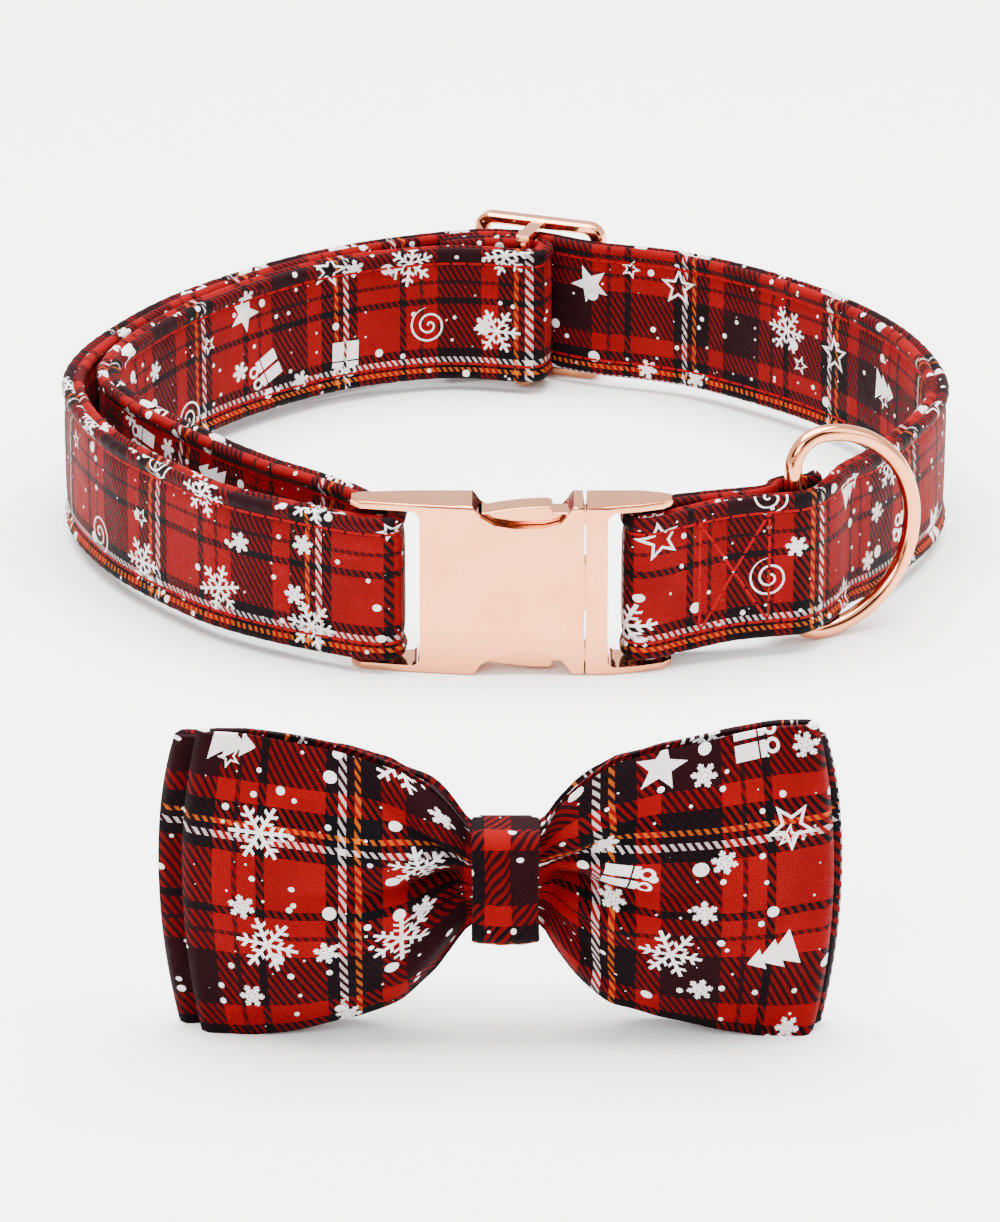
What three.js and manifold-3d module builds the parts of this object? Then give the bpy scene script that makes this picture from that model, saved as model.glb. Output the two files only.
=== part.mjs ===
// A pet collar of one inch patterned fabric strap with a metal side release
// buckle, a sliding adjuster and a lead ring, and the bow tie that slips on it.
// Millimetres. X runs along the buckle to the right, Y runs from the buckle to
// the back of the loop, Z is up, and the buckle's front face is at Y = 0.
import * as THREE from "three";
import { mergeVertices } from "three/addons/utils/BufferGeometryUtils.js";
import Module from "manifold-3d";

const wasm = await Module();
wasm.setup();

// Clearances
const GAP = 0.3; // between pieces that touch
const PLY_GAP = 0.35; // between two plies of the strap
const PIVOT_GAP = 0.3; // round a pivot

// Strap
const STRAP_WIDTH = 25.4;
const STRAP_THICKNESS = 4.0; // over the rolled edges
const FOLDED_THICKNESS = 3.2; // where it is folded or sewn double
const CHANNEL_THICKNESS = 2.2; // over the bar of the ring
const HALF_LOOP = 74.8; // widest place of the loop, to the strap's middle
const WIDEST_AT = 68; // how far back that is
const LOOP_DEPTH = 148.9; // buckle front to the outer face of the adjuster
const ROLL = 3; // height of a rolled edge, to its seam
const GROOVE = 0.6; // between the two rolls of an edge

// Buckle
const BUCKLE_HEIGHT = 30;
const BUCKLE_DEPTH = 8.4;
const BUCKLE_WALL = 1.5;
const BUCKLE_ROUNDING = 0.6;
const RAIL = 1.3; // above and below a strap slot
const SPLIT = 13.1; // joint line between the two halves
const SOCKET_LENGTH = 27.2; // slot to joint line
const SOCKET_SLOT = 7.1;
const SOCKET_BAR = 4.3;
const SOCKET_SETBACK = 3.1; // how far its tip leans back
const SOCKET_BAR_FRONT = 5.2;
const FOLD_SLACK = 1.6; // between the bar and the strap folded round it
const PLUG_WEB = 3.6; // joint line to slot
const PLUG_SLOT = 5.7;
const PLUG_BAR = 3.5;
const PLUG_TIP = 1.5; // rails past the bar
const PLUG_SETBACK = 2.8;
const PLUG_BAR_FRONT = 5.6;
const TIP_THICKNESS = 4.6;
const SLOT_ROUNDING = 1.6;
const NOTCH_LEFT = -5.4; // thumb notch over the release arms
const NOTCH_LENGTH = 16.8;
const NOTCH_DEPTH = 3.9;

// Release arms
const ARM_DEPTH = 4.6;
const ARM_THICKNESS = 2.2;
const ARM_LENGTH = 18;
const ARM_PIVOT_RADIUS = 1.3;
const ARM_PIVOT_INSET = 0.7; // pivot behind the joint line
const BUTTON_BELOW = 0.7; // top of a button under the buckle's top
const BUTTON_START = -3.2;
const BUTTON_END = 7.9;
const TONGUE_HEIGHT = 8;
const TONGUE_LENGTH = 19;

// Adjuster
const SLIDER_LENGTH = 25;
const SLIDER_HEIGHT = 30;
const SLIDER_DEPTH = 3;
const SLIDER_BAR = 2.5; // width of a rail or the middle bar
const SLIDER_MIDDLE_DEPTH = 2;
const SLIDER_EDGE = 2; // top and bottom rails
const SLIDER_ROUNDING = 3;
const SLIDER_BEVEL = 0.5;
const SLIDER_X = 7.15;
const SLIDER_TURN = THREE.MathUtils.degToRad(-20.3);

// Ring
const RING_HEIGHT = 38;
const RING_WIRE = 3; // across the ring
const RING_DEPTH = 3.4; // along its axis
const RING_STRAIGHT = 6.8; // straight bar to the middle of the bow
const RING_CORNER = 1.5; // inside corner radius
const RING_BEVEL = 1.1;
const RING_SWING = THREE.MathUtils.degToRad(27);
const RING_AT = 28.6; // along the strap from its fold on the plug

// Bow tie
const BOW_AT = -138;
const BOW_HALF_HEIGHT = 24.9;
const FRONT_HALF_LENGTH = 47.6;
const BACK_HALF_LENGTH = 50.5;
const BOW_CLOTH = 1.4;
const LOBE_DEPTH = 7;
const PLEAT_DEPTH = 3.6;
const PLEAT_WIDTH = 0.3; // share of the half height
const END_BOWING = 0.055; // how far the corners fall back, as a share
const EDGE_FALL = 0.62; // share of the bulge lost at the top and bottom edges
const KNOT_WIDTH = 10.7;
const KNOT_HEIGHT = 18;
const KNOT_CLOTH = 1.6;
const ELASTIC_WIDTH = 8;
const ELASTIC_HEIGHT = 17;
const ELASTIC_REACH = 7.2;
const ELASTIC_CLOTH = 1.2;

// Shares of the strap's run from a buckle bar to the widest place of the loop:
// out is across, back is towards the rear.
const RIGHT_FRONT = [
  { out: 0.172, back: 0.061 },
  { out: 0.303, back: 0.095 },
  { out: 0.401, back: 0.112 },
  { out: 0.524, back: 0.138 },
  { out: 0.587, back: 0.201 },
  { out: 0.647, back: 0.313 },
  { out: 0.743, back: 0.443 },
  { out: 0.837, back: 0.581 },
  { out: 0.931, back: 0.738 },
  { out: 0.987, back: 0.885 },
];
const LEFT_FRONT = [
  { out: 0.082, back: 0.014 },
  { out: 0.231, back: 0.076 },
  { out: 0.377, back: 0.146 },
  { out: 0.501, back: 0.218 },
  { out: 0.663, back: 0.367 },
  { out: 0.818, back: 0.538 },
  { out: 0.925, back: 0.723 },
  { out: 0.983, back: 0.885 },
];
// Shares of its run from the widest place to the adjuster: across is the share
// of the half loop, back the share of the way to the rear.
const RIGHT_BACK = [
  { across: 0.991, back: 0.098 },
  { across: 0.971, back: 0.192 },
  { across: 0.929, back: 0.311 },
  { across: 0.854, back: 0.454 },
  { across: 0.749, back: 0.592 },
  { across: 0.638, back: 0.698 },
  { across: 0.527, back: 0.785 },
  { across: 0.402, back: 0.854 },
];
const LEFT_BACK = [
  { across: 0.988, back: 0.123 },
  { across: 0.952, back: 0.24 },
  { across: 0.865, back: 0.41 },
  { across: 0.749, back: 0.579 },
  { across: 0.586, back: 0.743 },
  { across: 0.364, back: 0.9 },
];
// How far the inner ply stands off the outer one, in strap pitches, at shares
// of the way from the socket's bar to the adjuster.
const INNER_PLY = [
  { at: 0.072, pitches: 2.9 },
  { at: 0.165, pitches: 3.3 },
  { at: 0.26, pitches: 3.15 },
  { at: 0.34, pitches: 2.45 },
  { at: 0.4, pitches: 1.75 },
  { at: 0.45, pitches: 1.25 },
  { at: 0.5, pitches: 1.06 },
  { at: 0.56, pitches: 1.02 },
  { at: 0.62, pitches: 1.02 },
  { at: 0.68, pitches: 1.02 },
  { at: 0.74, pitches: 1.02 },
  { at: 0.8, pitches: 1.1 },
  { at: 0.86, pitches: 1.4 },
  { at: 0.92, pitches: 1.85 },
];
// A bow lobe along its half length: half height, how far its faces stand off
// the middle, and the strength of the middle pleat.
const LOBE = [
  { along: 0.0, half: 0.265, bulge: 0.0, pleat: 0 },
  { along: 0.128, half: 0.265, bulge: 0.0, pleat: 0 },
  { along: 0.16, half: 0.48, bulge: 0.22, pleat: 0.7 },
  { along: 0.22, half: 0.62, bulge: 0.5, pleat: 1 },
  { along: 0.33, half: 0.77, bulge: 0.86, pleat: 0.75 },
  { along: 0.47, half: 0.87, bulge: 1.0, pleat: 0.45 },
  { along: 0.66, half: 0.94, bulge: 0.86, pleat: 0.15 },
  { along: 0.84, half: 0.985, bulge: 0.5, pleat: 0 },
  { along: 0.95, half: 1.0, bulge: 0.2, pleat: 0 },
];
const BOW_ROWS = [-1, -0.62, -0.34, -0.15, 0, 0.15, 0.34, 0.62, 1];
// Outline of a thumb notch.
const NOTCH = [
  { along: 0.08, deep: 0.5 },
  { along: 0.22, deep: 0.86 },
  { along: 0.42, deep: 1.0 },
  { along: 0.7, deep: 0.98 },
  { along: 0.86, deep: 0.8 },
  { along: 0.94, deep: 0.4 },
];

// Finishes
const fabric = (colour) => new THREE.MeshStandardMaterial({ color: colour, roughness: 0.85, metalness: 0 });
const plated = () => new THREE.MeshStandardMaterial({ color: 0xeebfa2, roughness: 0.14, metalness: 1 });

// Straight-line reading of a table at a share, held at its ends
const read = (rows, key, share, column) => {
  const after = rows.findIndex((row) => row[key] >= share);
  if (after === 0) return rows[0][column];
  if (after < 0) return rows[rows.length - 1][column];
  const low = rows[after - 1];
  const high = rows[after];
  return THREE.MathUtils.mapLinear(share, low[key], high[key], low[column], high[column]);
};

const WELD = 1e-4; // points nearer than this are one
const SMALLEST = 2e-3; // smallest detail a cut may leave
const toSolid = (geometry) => {
  const bare = geometry.clone();
  bare.deleteAttribute("normal");
  bare.deleteAttribute("uv");
  const merged = mergeVertices(bare, WELD);
  const vertProperties = new Float32Array(merged.attributes.position.array);
  const triVerts = new Uint32Array(merged.index.array);
  return new wasm.Manifold(new wasm.Mesh({ numProp: 3, vertProperties, triVerts }));
};
const toGeometry = (solid) => {
  const { vertProperties, triVerts } = solid.asOriginal().simplify(SMALLEST).getMesh();
  const geometry = new THREE.BufferGeometry();
  geometry.setAttribute("position", new THREE.BufferAttribute(vertProperties, 3));
  geometry.setIndex(new THREE.BufferAttribute(triVerts, 1));
  geometry.computeVertexNormals();
  return geometry;
};
const cut = (body, ...tools) => tools.reduce((left, tool) => left.subtract(toSolid(tool)), body);
const join = (...pieces) => pieces.map(toSolid).reduce((whole, piece) => whole.add(piece));

// A shape drawn in X and Z, run through the depth from y0 to y1
const through = (shape, y0, y1, bevel = 0) => {
  const geometry = new THREE.ExtrudeGeometry(shape, {
    depth: y1 - y0 - 2 * bevel,
    bevelEnabled: bevel > 0,
    bevelThickness: bevel,
    bevelSize: bevel,
    bevelOffset: -bevel,
    bevelSegments: 1,
    curveSegments: 4,
  });
  return geometry.rotateX(Math.PI / 2).translate(0, y1 - bevel, 0);
};
// A shape drawn in X and Y, run up from z0 to z1
const upright = (shape, z0, z1, bevel = 0) =>
  new THREE.ExtrudeGeometry(shape, {
    depth: z1 - z0 - 2 * bevel,
    bevelEnabled: bevel > 0,
    bevelThickness: bevel,
    bevelSize: bevel,
    bevelOffset: -bevel,
    bevelSegments: 2,
    curveSegments: 6,
  }).translate(0, 0, z0 + bevel);

const rounded = (x0, y0, x1, y1, radius) => {
  const r = Math.min(radius, (x1 - x0) / 2, (y1 - y0) / 2) * 0.999;
  const shape = new THREE.Shape();
  shape.moveTo(x0 + r, y0).lineTo(x1 - r, y0).absarc(x1 - r, y0 + r, r, -Math.PI / 2, 0, false);
  shape.lineTo(x1, y1 - r).absarc(x1 - r, y1 - r, r, 0, Math.PI / 2, false);
  shape.lineTo(x0 + r, y1).absarc(x0 + r, y1 - r, r, Math.PI / 2, Math.PI, false);
  shape.lineTo(x0, y0 + r).absarc(x0 + r, y0 + r, r, Math.PI, 1.5 * Math.PI, false);
  return shape;
};
const block = (x0, x1, y0, y1, z0, z1) =>
  new THREE.BoxGeometry(x1 - x0, y1 - y0, z1 - z0).translate((x0 + x1) / 2, (y0 + y1) / 2, (z0 + z1) / 2);

// Places worked out from the sizes
const CENTRE_Z = BUCKLE_HEIGHT / 2;
const PITCH = STRAP_THICKNESS + PLY_GAP;
const FOLDED_PITCH = FOLDED_THICKNESS + PLY_GAP;
const SOCKET_SLOT_RIGHT = SPLIT - SOCKET_LENGTH;
const SOCKET_BAR_RIGHT = SOCKET_SLOT_RIGHT - SOCKET_SLOT;
const SOCKET_TIP = SOCKET_BAR_RIGHT - SOCKET_BAR;
const PLUG_FACE = SPLIT + GAP;
const PLUG_SLOT_LEFT = PLUG_FACE + PLUG_WEB;
const PLUG_BAR_LEFT = PLUG_SLOT_LEFT + PLUG_SLOT;
const PLUG_BAR_RIGHT = PLUG_BAR_LEFT + PLUG_BAR;
const PLUG_END = PLUG_BAR_RIGHT + PLUG_TIP;

// One half's top view: square at the joint line, thinner and set back at its tip
const wing = (jointX, shoulderX, tipX, setback) => {
  const outward = Math.sign(tipX - jointX);
  const nose = TIP_THICKNESS / 3;
  const tipBack = setback + TIP_THICKNESS;
  const shape = new THREE.Shape();
  shape.moveTo(jointX, 0).lineTo(shoulderX, 0);
  shape.lineTo((shoulderX + tipX) / 2, setback * 0.42);
  shape.lineTo(tipX - outward * nose, setback * 0.92);
  shape.lineTo(tipX, setback + nose).lineTo(tipX, tipBack - nose / 2);
  shape.lineTo(tipX - outward * nose, tipBack);
  shape.lineTo((shoulderX + tipX) / 2, BUCKLE_DEPTH).lineTo(jointX, BUCKLE_DEPTH);
  return upright(shape, 0, BUCKLE_HEIGHT, BUCKLE_ROUNDING);
};
// The strap's slot in a half, and the step that sets its bar back
const slotTools = (slotLeft, slotRight, barLeft, barRight, barFront) => {
  const low = RAIL;
  const high = BUCKLE_HEIGHT - RAIL;
  const past = BUCKLE_DEPTH;
  return [
    through(rounded(slotLeft, low, slotRight, high, SLOT_ROUNDING), -past, 2 * past),
    block(barLeft, barRight, -past, barFront, low, high),
  ];
};
const notchShape = (up) => {
  const edge = up ? BUCKLE_HEIGHT : 0;
  const way = up ? -1 : 1;
  const spot = (row) => new THREE.Vector2(NOTCH_LEFT + row.along * NOTCH_LENGTH, edge + way * row.deep * NOTCH_DEPTH);
  const ends = [
    { along: 0, deep: -1 },
    { along: 0, deep: 0 },
  ];
  const far = [
    { along: 1, deep: 0 },
    { along: 1, deep: -1 },
  ];
  return new THREE.Shape([...ends, ...NOTCH, ...far].map(spot));
};

// Socket half: hollow behind its faces, open at the joint line and the notches
const CAVITY_LEFT = SOCKET_SLOT_RIGHT + BUCKLE_WALL;
const socketHalf = () => {
  const shoulder = NOTCH_LEFT;
  const body = toSolid(wing(SPLIT, shoulder, SOCKET_TIP, SOCKET_SETBACK));
  const past = BUCKLE_DEPTH;
  const barRight = SOCKET_BAR_RIGHT + SOCKET_SLOT / 2;
  const slots = slotTools(SOCKET_BAR_RIGHT, SOCKET_SLOT_RIGHT, SOCKET_TIP - GAP, barRight, SOCKET_BAR_FRONT);
  const barBack = SOCKET_SETBACK + TIP_THICKNESS;
  const behind = block(SOCKET_TIP - GAP, barRight, barBack, 2 * past, RAIL, BUCKLE_HEIGHT - RAIL);
  const inside = BUCKLE_HEIGHT - BUCKLE_WALL;
  const cavity = block(
    CAVITY_LEFT,
    SPLIT + BUCKLE_WALL,
    BUCKLE_WALL,
    BUCKLE_DEPTH - BUCKLE_WALL,
    BUCKLE_WALL,
    inside,
  );
  const notches = [true, false].map((up) => through(notchShape(up), -past, 2 * past));
  return toGeometry(cut(body, ...slots, behind, cavity, ...notches));
};

// Release arms turn about pivots just inside the plug
const ARM_TOP = BUCKLE_HEIGHT - BUCKLE_WALL - GAP;
const PIVOT_X = PLUG_FACE + ARM_PIVOT_INSET;
const PIVOT_UP = ARM_TOP - ARM_THICKNESS / 2 - CENTRE_Z; // above the middle
const ARM_FRONT = (BUCKLE_DEPTH - ARM_DEPTH) / 2;
const ARM_BACK = ARM_FRONT + ARM_DEPTH;
const armShape = () => {
  const tip = PIVOT_X - ARM_LENGTH;
  const under = PIVOT_UP - ARM_THICKNESS / 2;
  const over = PIVOT_UP + ARM_THICKNESS / 2;
  const button = CENTRE_Z - BUTTON_BELOW;
  const shape = new THREE.Shape();
  shape.moveTo(tip, under).lineTo(PIVOT_X, under).lineTo(PIVOT_X, over).lineTo(BUTTON_END, over);
  shape.lineTo(BUTTON_END, button - ARM_THICKNESS / 6);
  shape.lineTo(BUTTON_END - ARM_THICKNESS / 3, button);
  shape.quadraticCurveTo((BUTTON_START + BUTTON_END) / 2, button, BUTTON_START, over);
  shape.lineTo(tip, over);
  return shape;
};
const arm = (up) => {
  const eye = new THREE.Shape().absarc(PIVOT_X, PIVOT_UP, ARM_PIVOT_RADIUS, 0, 2 * Math.PI, false);
  const whole = toGeometry(join(through(armShape(), ARM_FRONT, ARM_BACK), through(eye, ARM_FRONT, ARM_BACK)));
  if (!up) whole.rotateX(Math.PI).translate(0, BUCKLE_DEPTH, 0);
  return whole.translate(0, 0, CENTRE_Z);
};

// Plug half: web, slot and bar, a guide tongue and the arms' pivot sockets
const plugHalf = () => {
  const slots = slotTools(
    PLUG_SLOT_LEFT,
    PLUG_BAR_LEFT,
    PLUG_BAR_LEFT - PLUG_SLOT / 2,
    PLUG_END + GAP,
    PLUG_BAR_FRONT,
  );
  const relief = block(PLUG_BAR_RIGHT, PLUG_END + GAP, -GAP, BUCKLE_DEPTH + GAP, RAIL, BUCKLE_HEIGHT - RAIL);
  const sockets = [PIVOT_UP, -PIVOT_UP].flatMap((rise) => {
    const z = CENTRE_Z + rise;
    const hole = new THREE.Shape().absarc(PIVOT_X, z, ARM_PIVOT_RADIUS + PIVOT_GAP, 0, 2 * Math.PI, false);
    const mouth = ARM_THICKNESS / 2 + PIVOT_GAP + ARM_THICKNESS / 4;
    return [
      through(hole, ARM_FRONT - GAP, ARM_BACK + GAP),
      block(SPLIT - GAP, PIVOT_X, ARM_FRONT - GAP, ARM_BACK + GAP, z - mouth, z + mouth),
    ];
  });
  const tongue = block(
    PLUG_FACE - TONGUE_LENGTH,
    PLUG_FACE + PLUG_WEB / 2,
    ARM_FRONT,
    ARM_BACK,
    CENTRE_Z - TONGUE_HEIGHT / 2,
    CENTRE_Z + TONGUE_HEIGHT / 2,
  );
  const web = cut(toSolid(wing(PLUG_FACE, PLUG_SLOT_LEFT, PLUG_END, PLUG_SETBACK)), ...slots, relief, ...sockets);
  return toGeometry(web.add(toSolid(tongue)));
};

// Adjuster, drawn in its own frame: X along it, Z up, its outer face at Y = 0
const sliderPlace = new THREE.Matrix4().makeRotationZ(SLIDER_TURN).setPosition(SLIDER_X, LOOP_DEPTH, 0);
const onSlider = (along, out) => new THREE.Vector3(along, out, 0).applyMatrix4(sliderPlace);
const RAIL_INNER = -SLIDER_DEPTH;
const MAIN_OVER_BAR = RAIL_INNER - 0.5; // the strap's middle where it crosses the bar
const RETURN_OVER_BAR = MAIN_OVER_BAR - FOLDED_PITCH;
const BAR_OUTER = RETURN_OVER_BAR - FOLDED_THICKNESS / 2 - 2 * GAP;
const BAR_INNER = BAR_OUTER - SLIDER_MIDDLE_DEPTH;
const INNER_UNDER_BAR = BAR_INNER - 2.5 * GAP - FOLDED_THICKNESS / 2;
const SLIDER_CENTRE_RAIL = SLIDER_LENGTH / 2 - SLIDER_BAR / 2;
const slider = () => {
  const half = SLIDER_LENGTH / 2;
  const frame = rounded(-half, 0, half, SLIDER_HEIGHT, SLIDER_ROUNDING);
  const window = (x0, x1) => rounded(x0, SLIDER_EDGE, x1, SLIDER_HEIGHT - SLIDER_EDGE, SLIDER_ROUNDING / 2);
  frame.holes.push(window(-half + SLIDER_BAR, half - SLIDER_BAR));
  const plate = through(frame, -SLIDER_DEPTH, 0, SLIDER_BEVEL);
  const lug = (z0, z1) => block(-SLIDER_BAR / 2, SLIDER_BAR / 2, BAR_INNER, RAIL_INNER + SLIDER_BEVEL * 2, z0, z1);
  const bar = block(-SLIDER_BAR / 2, SLIDER_BAR / 2, BAR_INNER, BAR_OUTER, SLIDER_BEVEL, SLIDER_HEIGHT - SLIDER_BEVEL);
  const edge = SLIDER_EDGE - SLIDER_BEVEL;
  const low = lug(SLIDER_BEVEL, edge);
  const high = lug(SLIDER_HEIGHT - edge, SLIDER_HEIGHT - SLIDER_BEVEL);
  return toGeometry(join(plate, bar, low, high));
};

// The strap's route in plan, as one run of middle-line points
const smooth = (points) => new THREE.CatmullRomCurve3(points, false, "centripetal");
const plan = (x, y) => new THREE.Vector3(x, y, 0);
const leftOf = (curve, at) => {
  const way = curve.getTangentAt(at);
  return new THREE.Vector3(-way.y, way.x, 0);
};
const beside = (curve, at, off) => curve.getPointAt(at).addScaledVector(leftOf(curve, at), off);
const frontRun = (bar, side, rows) =>
  rows.map((row) => plan(bar.x + row.out * (side * HALF_LOOP - bar.x), bar.y + row.back * (WIDEST_AT - bar.y)));
const backRun = (side, rear, rows) =>
  rows.map((row) => plan(side * row.across * HALF_LOOP, WIDEST_AT + row.back * (rear - WIDEST_AT)));

const FOLD_TURN = FOLDED_THICKNESS / 2 + PLY_GAP; // middle-line radius of a tight fold
const plugFoldX = PLUG_BAR_LEFT - GAP - FOLDED_THICKNESS / 2;
const plugFront = plan(plugFoldX + FOLD_TURN, FOLDED_THICKNESS / 2 + GAP);
const plugBack = plan(plugFoldX + FOLD_TURN, BUCKLE_DEPTH + GAP + FOLDED_THICKNESS / 2);
const socketFoldX = SOCKET_BAR_RIGHT + FOLD_SLACK + FOLDED_THICKNESS / 2;
const socketFront = plan(socketFoldX - FOLD_TURN, FOLDED_THICKNESS / 2 + GAP / 2);
const socketBack = plan(socketFoldX - FOLD_TURN, SOCKET_SETBACK + TIP_THICKNESS + GAP + FOLDED_THICKNESS / 2);
// Round a bar between two plies: a quarter turn, a straight and a quarter turn
const fold = (from, to, foldX) => {
  const away = Math.sign(foldX - from.x);
  const up = Math.sign(to.y - from.y);
  const turn = Math.abs(foldX - from.x);
  const corner = (angle, y, bend) => plan(foldX - away * turn * (1 - Math.sin(angle)), y + bend * turn * (1 - Math.cos(angle)));
  const angles = [0.15, 0.4, 0.65, 0.9].map((share) => (share * Math.PI) / 2);
  const first = angles.map((angle) => corner(angle, from.y, up));
  const second = angles.map((angle) => corner(angle, to.y, -up)).reverse();
  return [...first, plan(foldX, (from.y + to.y) / 2), ...second];
};

// Outer ply: plug, right side, adjuster, left side, socket
const overRails = [
  onSlider(SLIDER_CENTRE_RAIL, RAIL_INNER - GAP - STRAP_THICKNESS / 2),
  onSlider(SLIDER_LENGTH / 4, (RAIL_INNER - GAP - STRAP_THICKNESS / 2 + MAIN_OVER_BAR) / 2),
  onSlider(0, MAIN_OVER_BAR),
  onSlider(-SLIDER_LENGTH / 4, MAIN_OVER_BAR - STRAP_THICKNESS / 4),
  onSlider(-SLIDER_CENTRE_RAIL, MAIN_OVER_BAR - STRAP_THICKNESS * 0.72),
];
const rear = overRails[4].y;
const outerRight = smooth([
  plugFront,
  ...frontRun(plugFront, 1, RIGHT_FRONT),
  plan(HALF_LOOP, WIDEST_AT),
  ...backRun(1, rear, RIGHT_BACK),
  ...overRails.slice(0, 3),
]);
const outerLeft = smooth([
  socketFront,
  ...frontRun(socketFront, -1, LEFT_FRONT),
  plan(-HALF_LOOP, WIDEST_AT),
  ...backRun(-1, rear, LEFT_BACK),
  ...overRails.slice(2).reverse(),
]);

// Ring: its bar lies between the plies, so the strap places it
const RING_HALF = Math.hypot(RING_WIRE / 2 - RING_BEVEL, RING_DEPTH / 2 - RING_BEVEL) + RING_BEVEL;
const CHANNEL_OFF = CHANNEL_THICKNESS / 2 + 3 * GAP + RING_HALF;
const ringShare = RING_AT / outerRight.getLength();
const ringBar = beside(outerRight, ringShare, CHANNEL_OFF);
const RING_LIFT = RING_WIRE + GAP - (CENTRE_Z - STRAP_WIDTH / 2);

// Inner plies: the doubled end at the plug, and the left inner ply
// Where the doubled end lies sewn to the outer ply, before and past the ring
const SEWN_BEFORE = [-13, -10.5, -8];
const SEWN_PAST = [8.5, 10.5];
// Round the ring's bar, as turns from the inward side
const CHANNEL_TURNS = [-60, -30, 0, 26];
const sewn = (past) => beside(outerRight, (RING_AT + past) / outerRight.getLength(), FOLDED_PITCH);
const inward = leftOf(outerRight, ringShare);
const roundBar = (turn) => {
  const way = inward.clone().applyAxisAngle(new THREE.Vector3(0, 0, -1), THREE.MathUtils.degToRad(turn));
  return ringBar.clone().addScaledVector(way, CHANNEL_OFF);
};
const plugInner = smooth([
  plugBack,
  ...SEWN_BEFORE.map(sewn),
  ...CHANNEL_TURNS.map(roundBar),
  ...SEWN_PAST.map(sewn),
]);
const RETURN_LENGTH = 19; // the end sewn back beside the adjuster, past its bar
const RETURN_STEPS = [0.28, 0.5, 0.75, 1];
const innerLeft = smooth([
  socketBack,
  ...INNER_PLY.map(({ at, pitches }) => beside(outerLeft, at, -pitches * PITCH)),
  onSlider(0, INNER_UNDER_BAR),
]);
const barFoldAlong = SLIDER_BAR / 2 + 2 * GAP + FOLDED_THICKNESS / 2;
const barFold = fold(
  plan(barFoldAlong - FOLD_TURN, INNER_UNDER_BAR),
  plan(barFoldAlong - FOLD_TURN, RETURN_OVER_BAR),
  barFoldAlong,
).map(({ x, y }) => onSlider(x, y));
const returned = RETURN_STEPS.map((share) => {
  const at = 1 - (share * RETURN_LENGTH) / outerLeft.getLength();
  return beside(outerLeft, at, -FOLDED_PITCH * (1 + (1 - share) * 0.04));
});

// Thinner where a bar or stitching grips it, and lifted where the ring carries it
const SPREAD = 8; // the strap recovers its thickness over this run
const grips = [
  { place: plan(PLUG_BAR_LEFT, BUCKLE_DEPTH / 2), reach: 12, thickness: FOLDED_THICKNESS, spread: SPREAD },
  { place: ringBar, reach: 13, thickness: FOLDED_THICKNESS, spread: SPREAD },
  { place: plan(SOCKET_BAR_RIGHT, BUCKLE_DEPTH / 2), reach: 8, thickness: FOLDED_THICKNESS, spread: SPREAD },
  { place: onSlider(0, RAIL_INNER), reach: 26, thickness: FOLDED_THICKNESS, spread: SPREAD },
  { place: ringBar, reach: 5, thickness: CHANNEL_THICKNESS, spread: 3 },
];
const thicknessAt = (spot) =>
  Math.min(
    ...grips.map(({ place, reach, thickness, spread }) => {
      const free = THREE.MathUtils.smoothstep(spot.distanceTo(place), reach, reach + spread);
      return THREE.MathUtils.lerp(thickness, STRAP_THICKNESS, free);
    }),
  );
const LIFT_REACH = 10;
const LIFT_FADE = 26;
const liftAt = (spot) => RING_LIFT * (1 - THREE.MathUtils.smoothstep(spot.distanceTo(ringBar), LIFT_REACH, LIFT_FADE));

// Stations along the route wherever it has turned or run far enough
const TURN = THREE.MathUtils.degToRad(13);
const RUN = 8;
const strapStations = () => {
  const route = smooth([
    ...plugInner.points.slice(1).reverse(),
    plugBack,
    ...fold(plugBack, plugFront, plugFoldX),
    ...outerRight.points,
    ...outerLeft.points.slice(1, -1).reverse(),
    socketFront,
    ...fold(socketFront, socketBack, socketFoldX),
    ...innerLeft.points.slice(0, -1),
    ...barFold,
    ...returned,
  ]);
  const dense = route.getSpacedPoints(2400);
  const ways = dense.map((spot, i) => {
    const ahead = dense[Math.min(i + 1, dense.length - 1)];
    const behind = dense[Math.max(i - 1, 0)];
    return ahead.clone().sub(behind).normalize();
  });
  const kept = [0];
  dense.forEach((spot, i) => {
    const last = kept[kept.length - 1];
    const turned = ways[last].angleTo(ways[i]) > TURN;
    const ran = dense[last].distanceTo(spot) > RUN;
    if (turned || ran || i === dense.length - 1) kept.push(i);
  });
  return kept.map((i) => ({
    spot: dense[i],
    across: new THREE.Vector3(-ways[i].y, ways[i].x, 0),
    thickness: thicknessAt(dense[i]),
    lift: liftAt(dense[i]),
  }));
};

// Half of the strap's section: rolled edges, a groove between the two rolls
const strapSection = () => {
  const top = STRAP_WIDTH / 2;
  const side = [
    [0.27, top],
    [0.5, top - ROLL * 0.36],
    [0.38, top - ROLL],
  ];
  const right = [...side, ...side.map(([across, up]) => [across, -up]).reverse()];
  const left = right.map(([across, up]) => [-across, -up]);
  const outline = [[0, top - GROOVE], ...right, [0, GROOVE - top], ...left];
  return new THREE.Shape(outline.map(([across, up]) => new THREE.Vector2(across, up)));
};
const strap = () => {
  const stations = strapStations();
  const last = stations.length - 1;
  const body = new THREE.ExtrudeGeometry(strapSection(), { depth: last, steps: last, bevelEnabled: false });
  const place = body.attributes.position;
  for (let i = 0; i < place.count; i += 1) {
    const { spot, across, thickness, lift } = stations[Math.round(place.getZ(i))];
    const at = spot.clone().addScaledVector(across, place.getX(i) * thickness);
    place.setXYZ(i, at.x, at.y, CENTRE_Z + lift + place.getY(i));
  }
  body.computeVertexNormals();
  return body;
};

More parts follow.
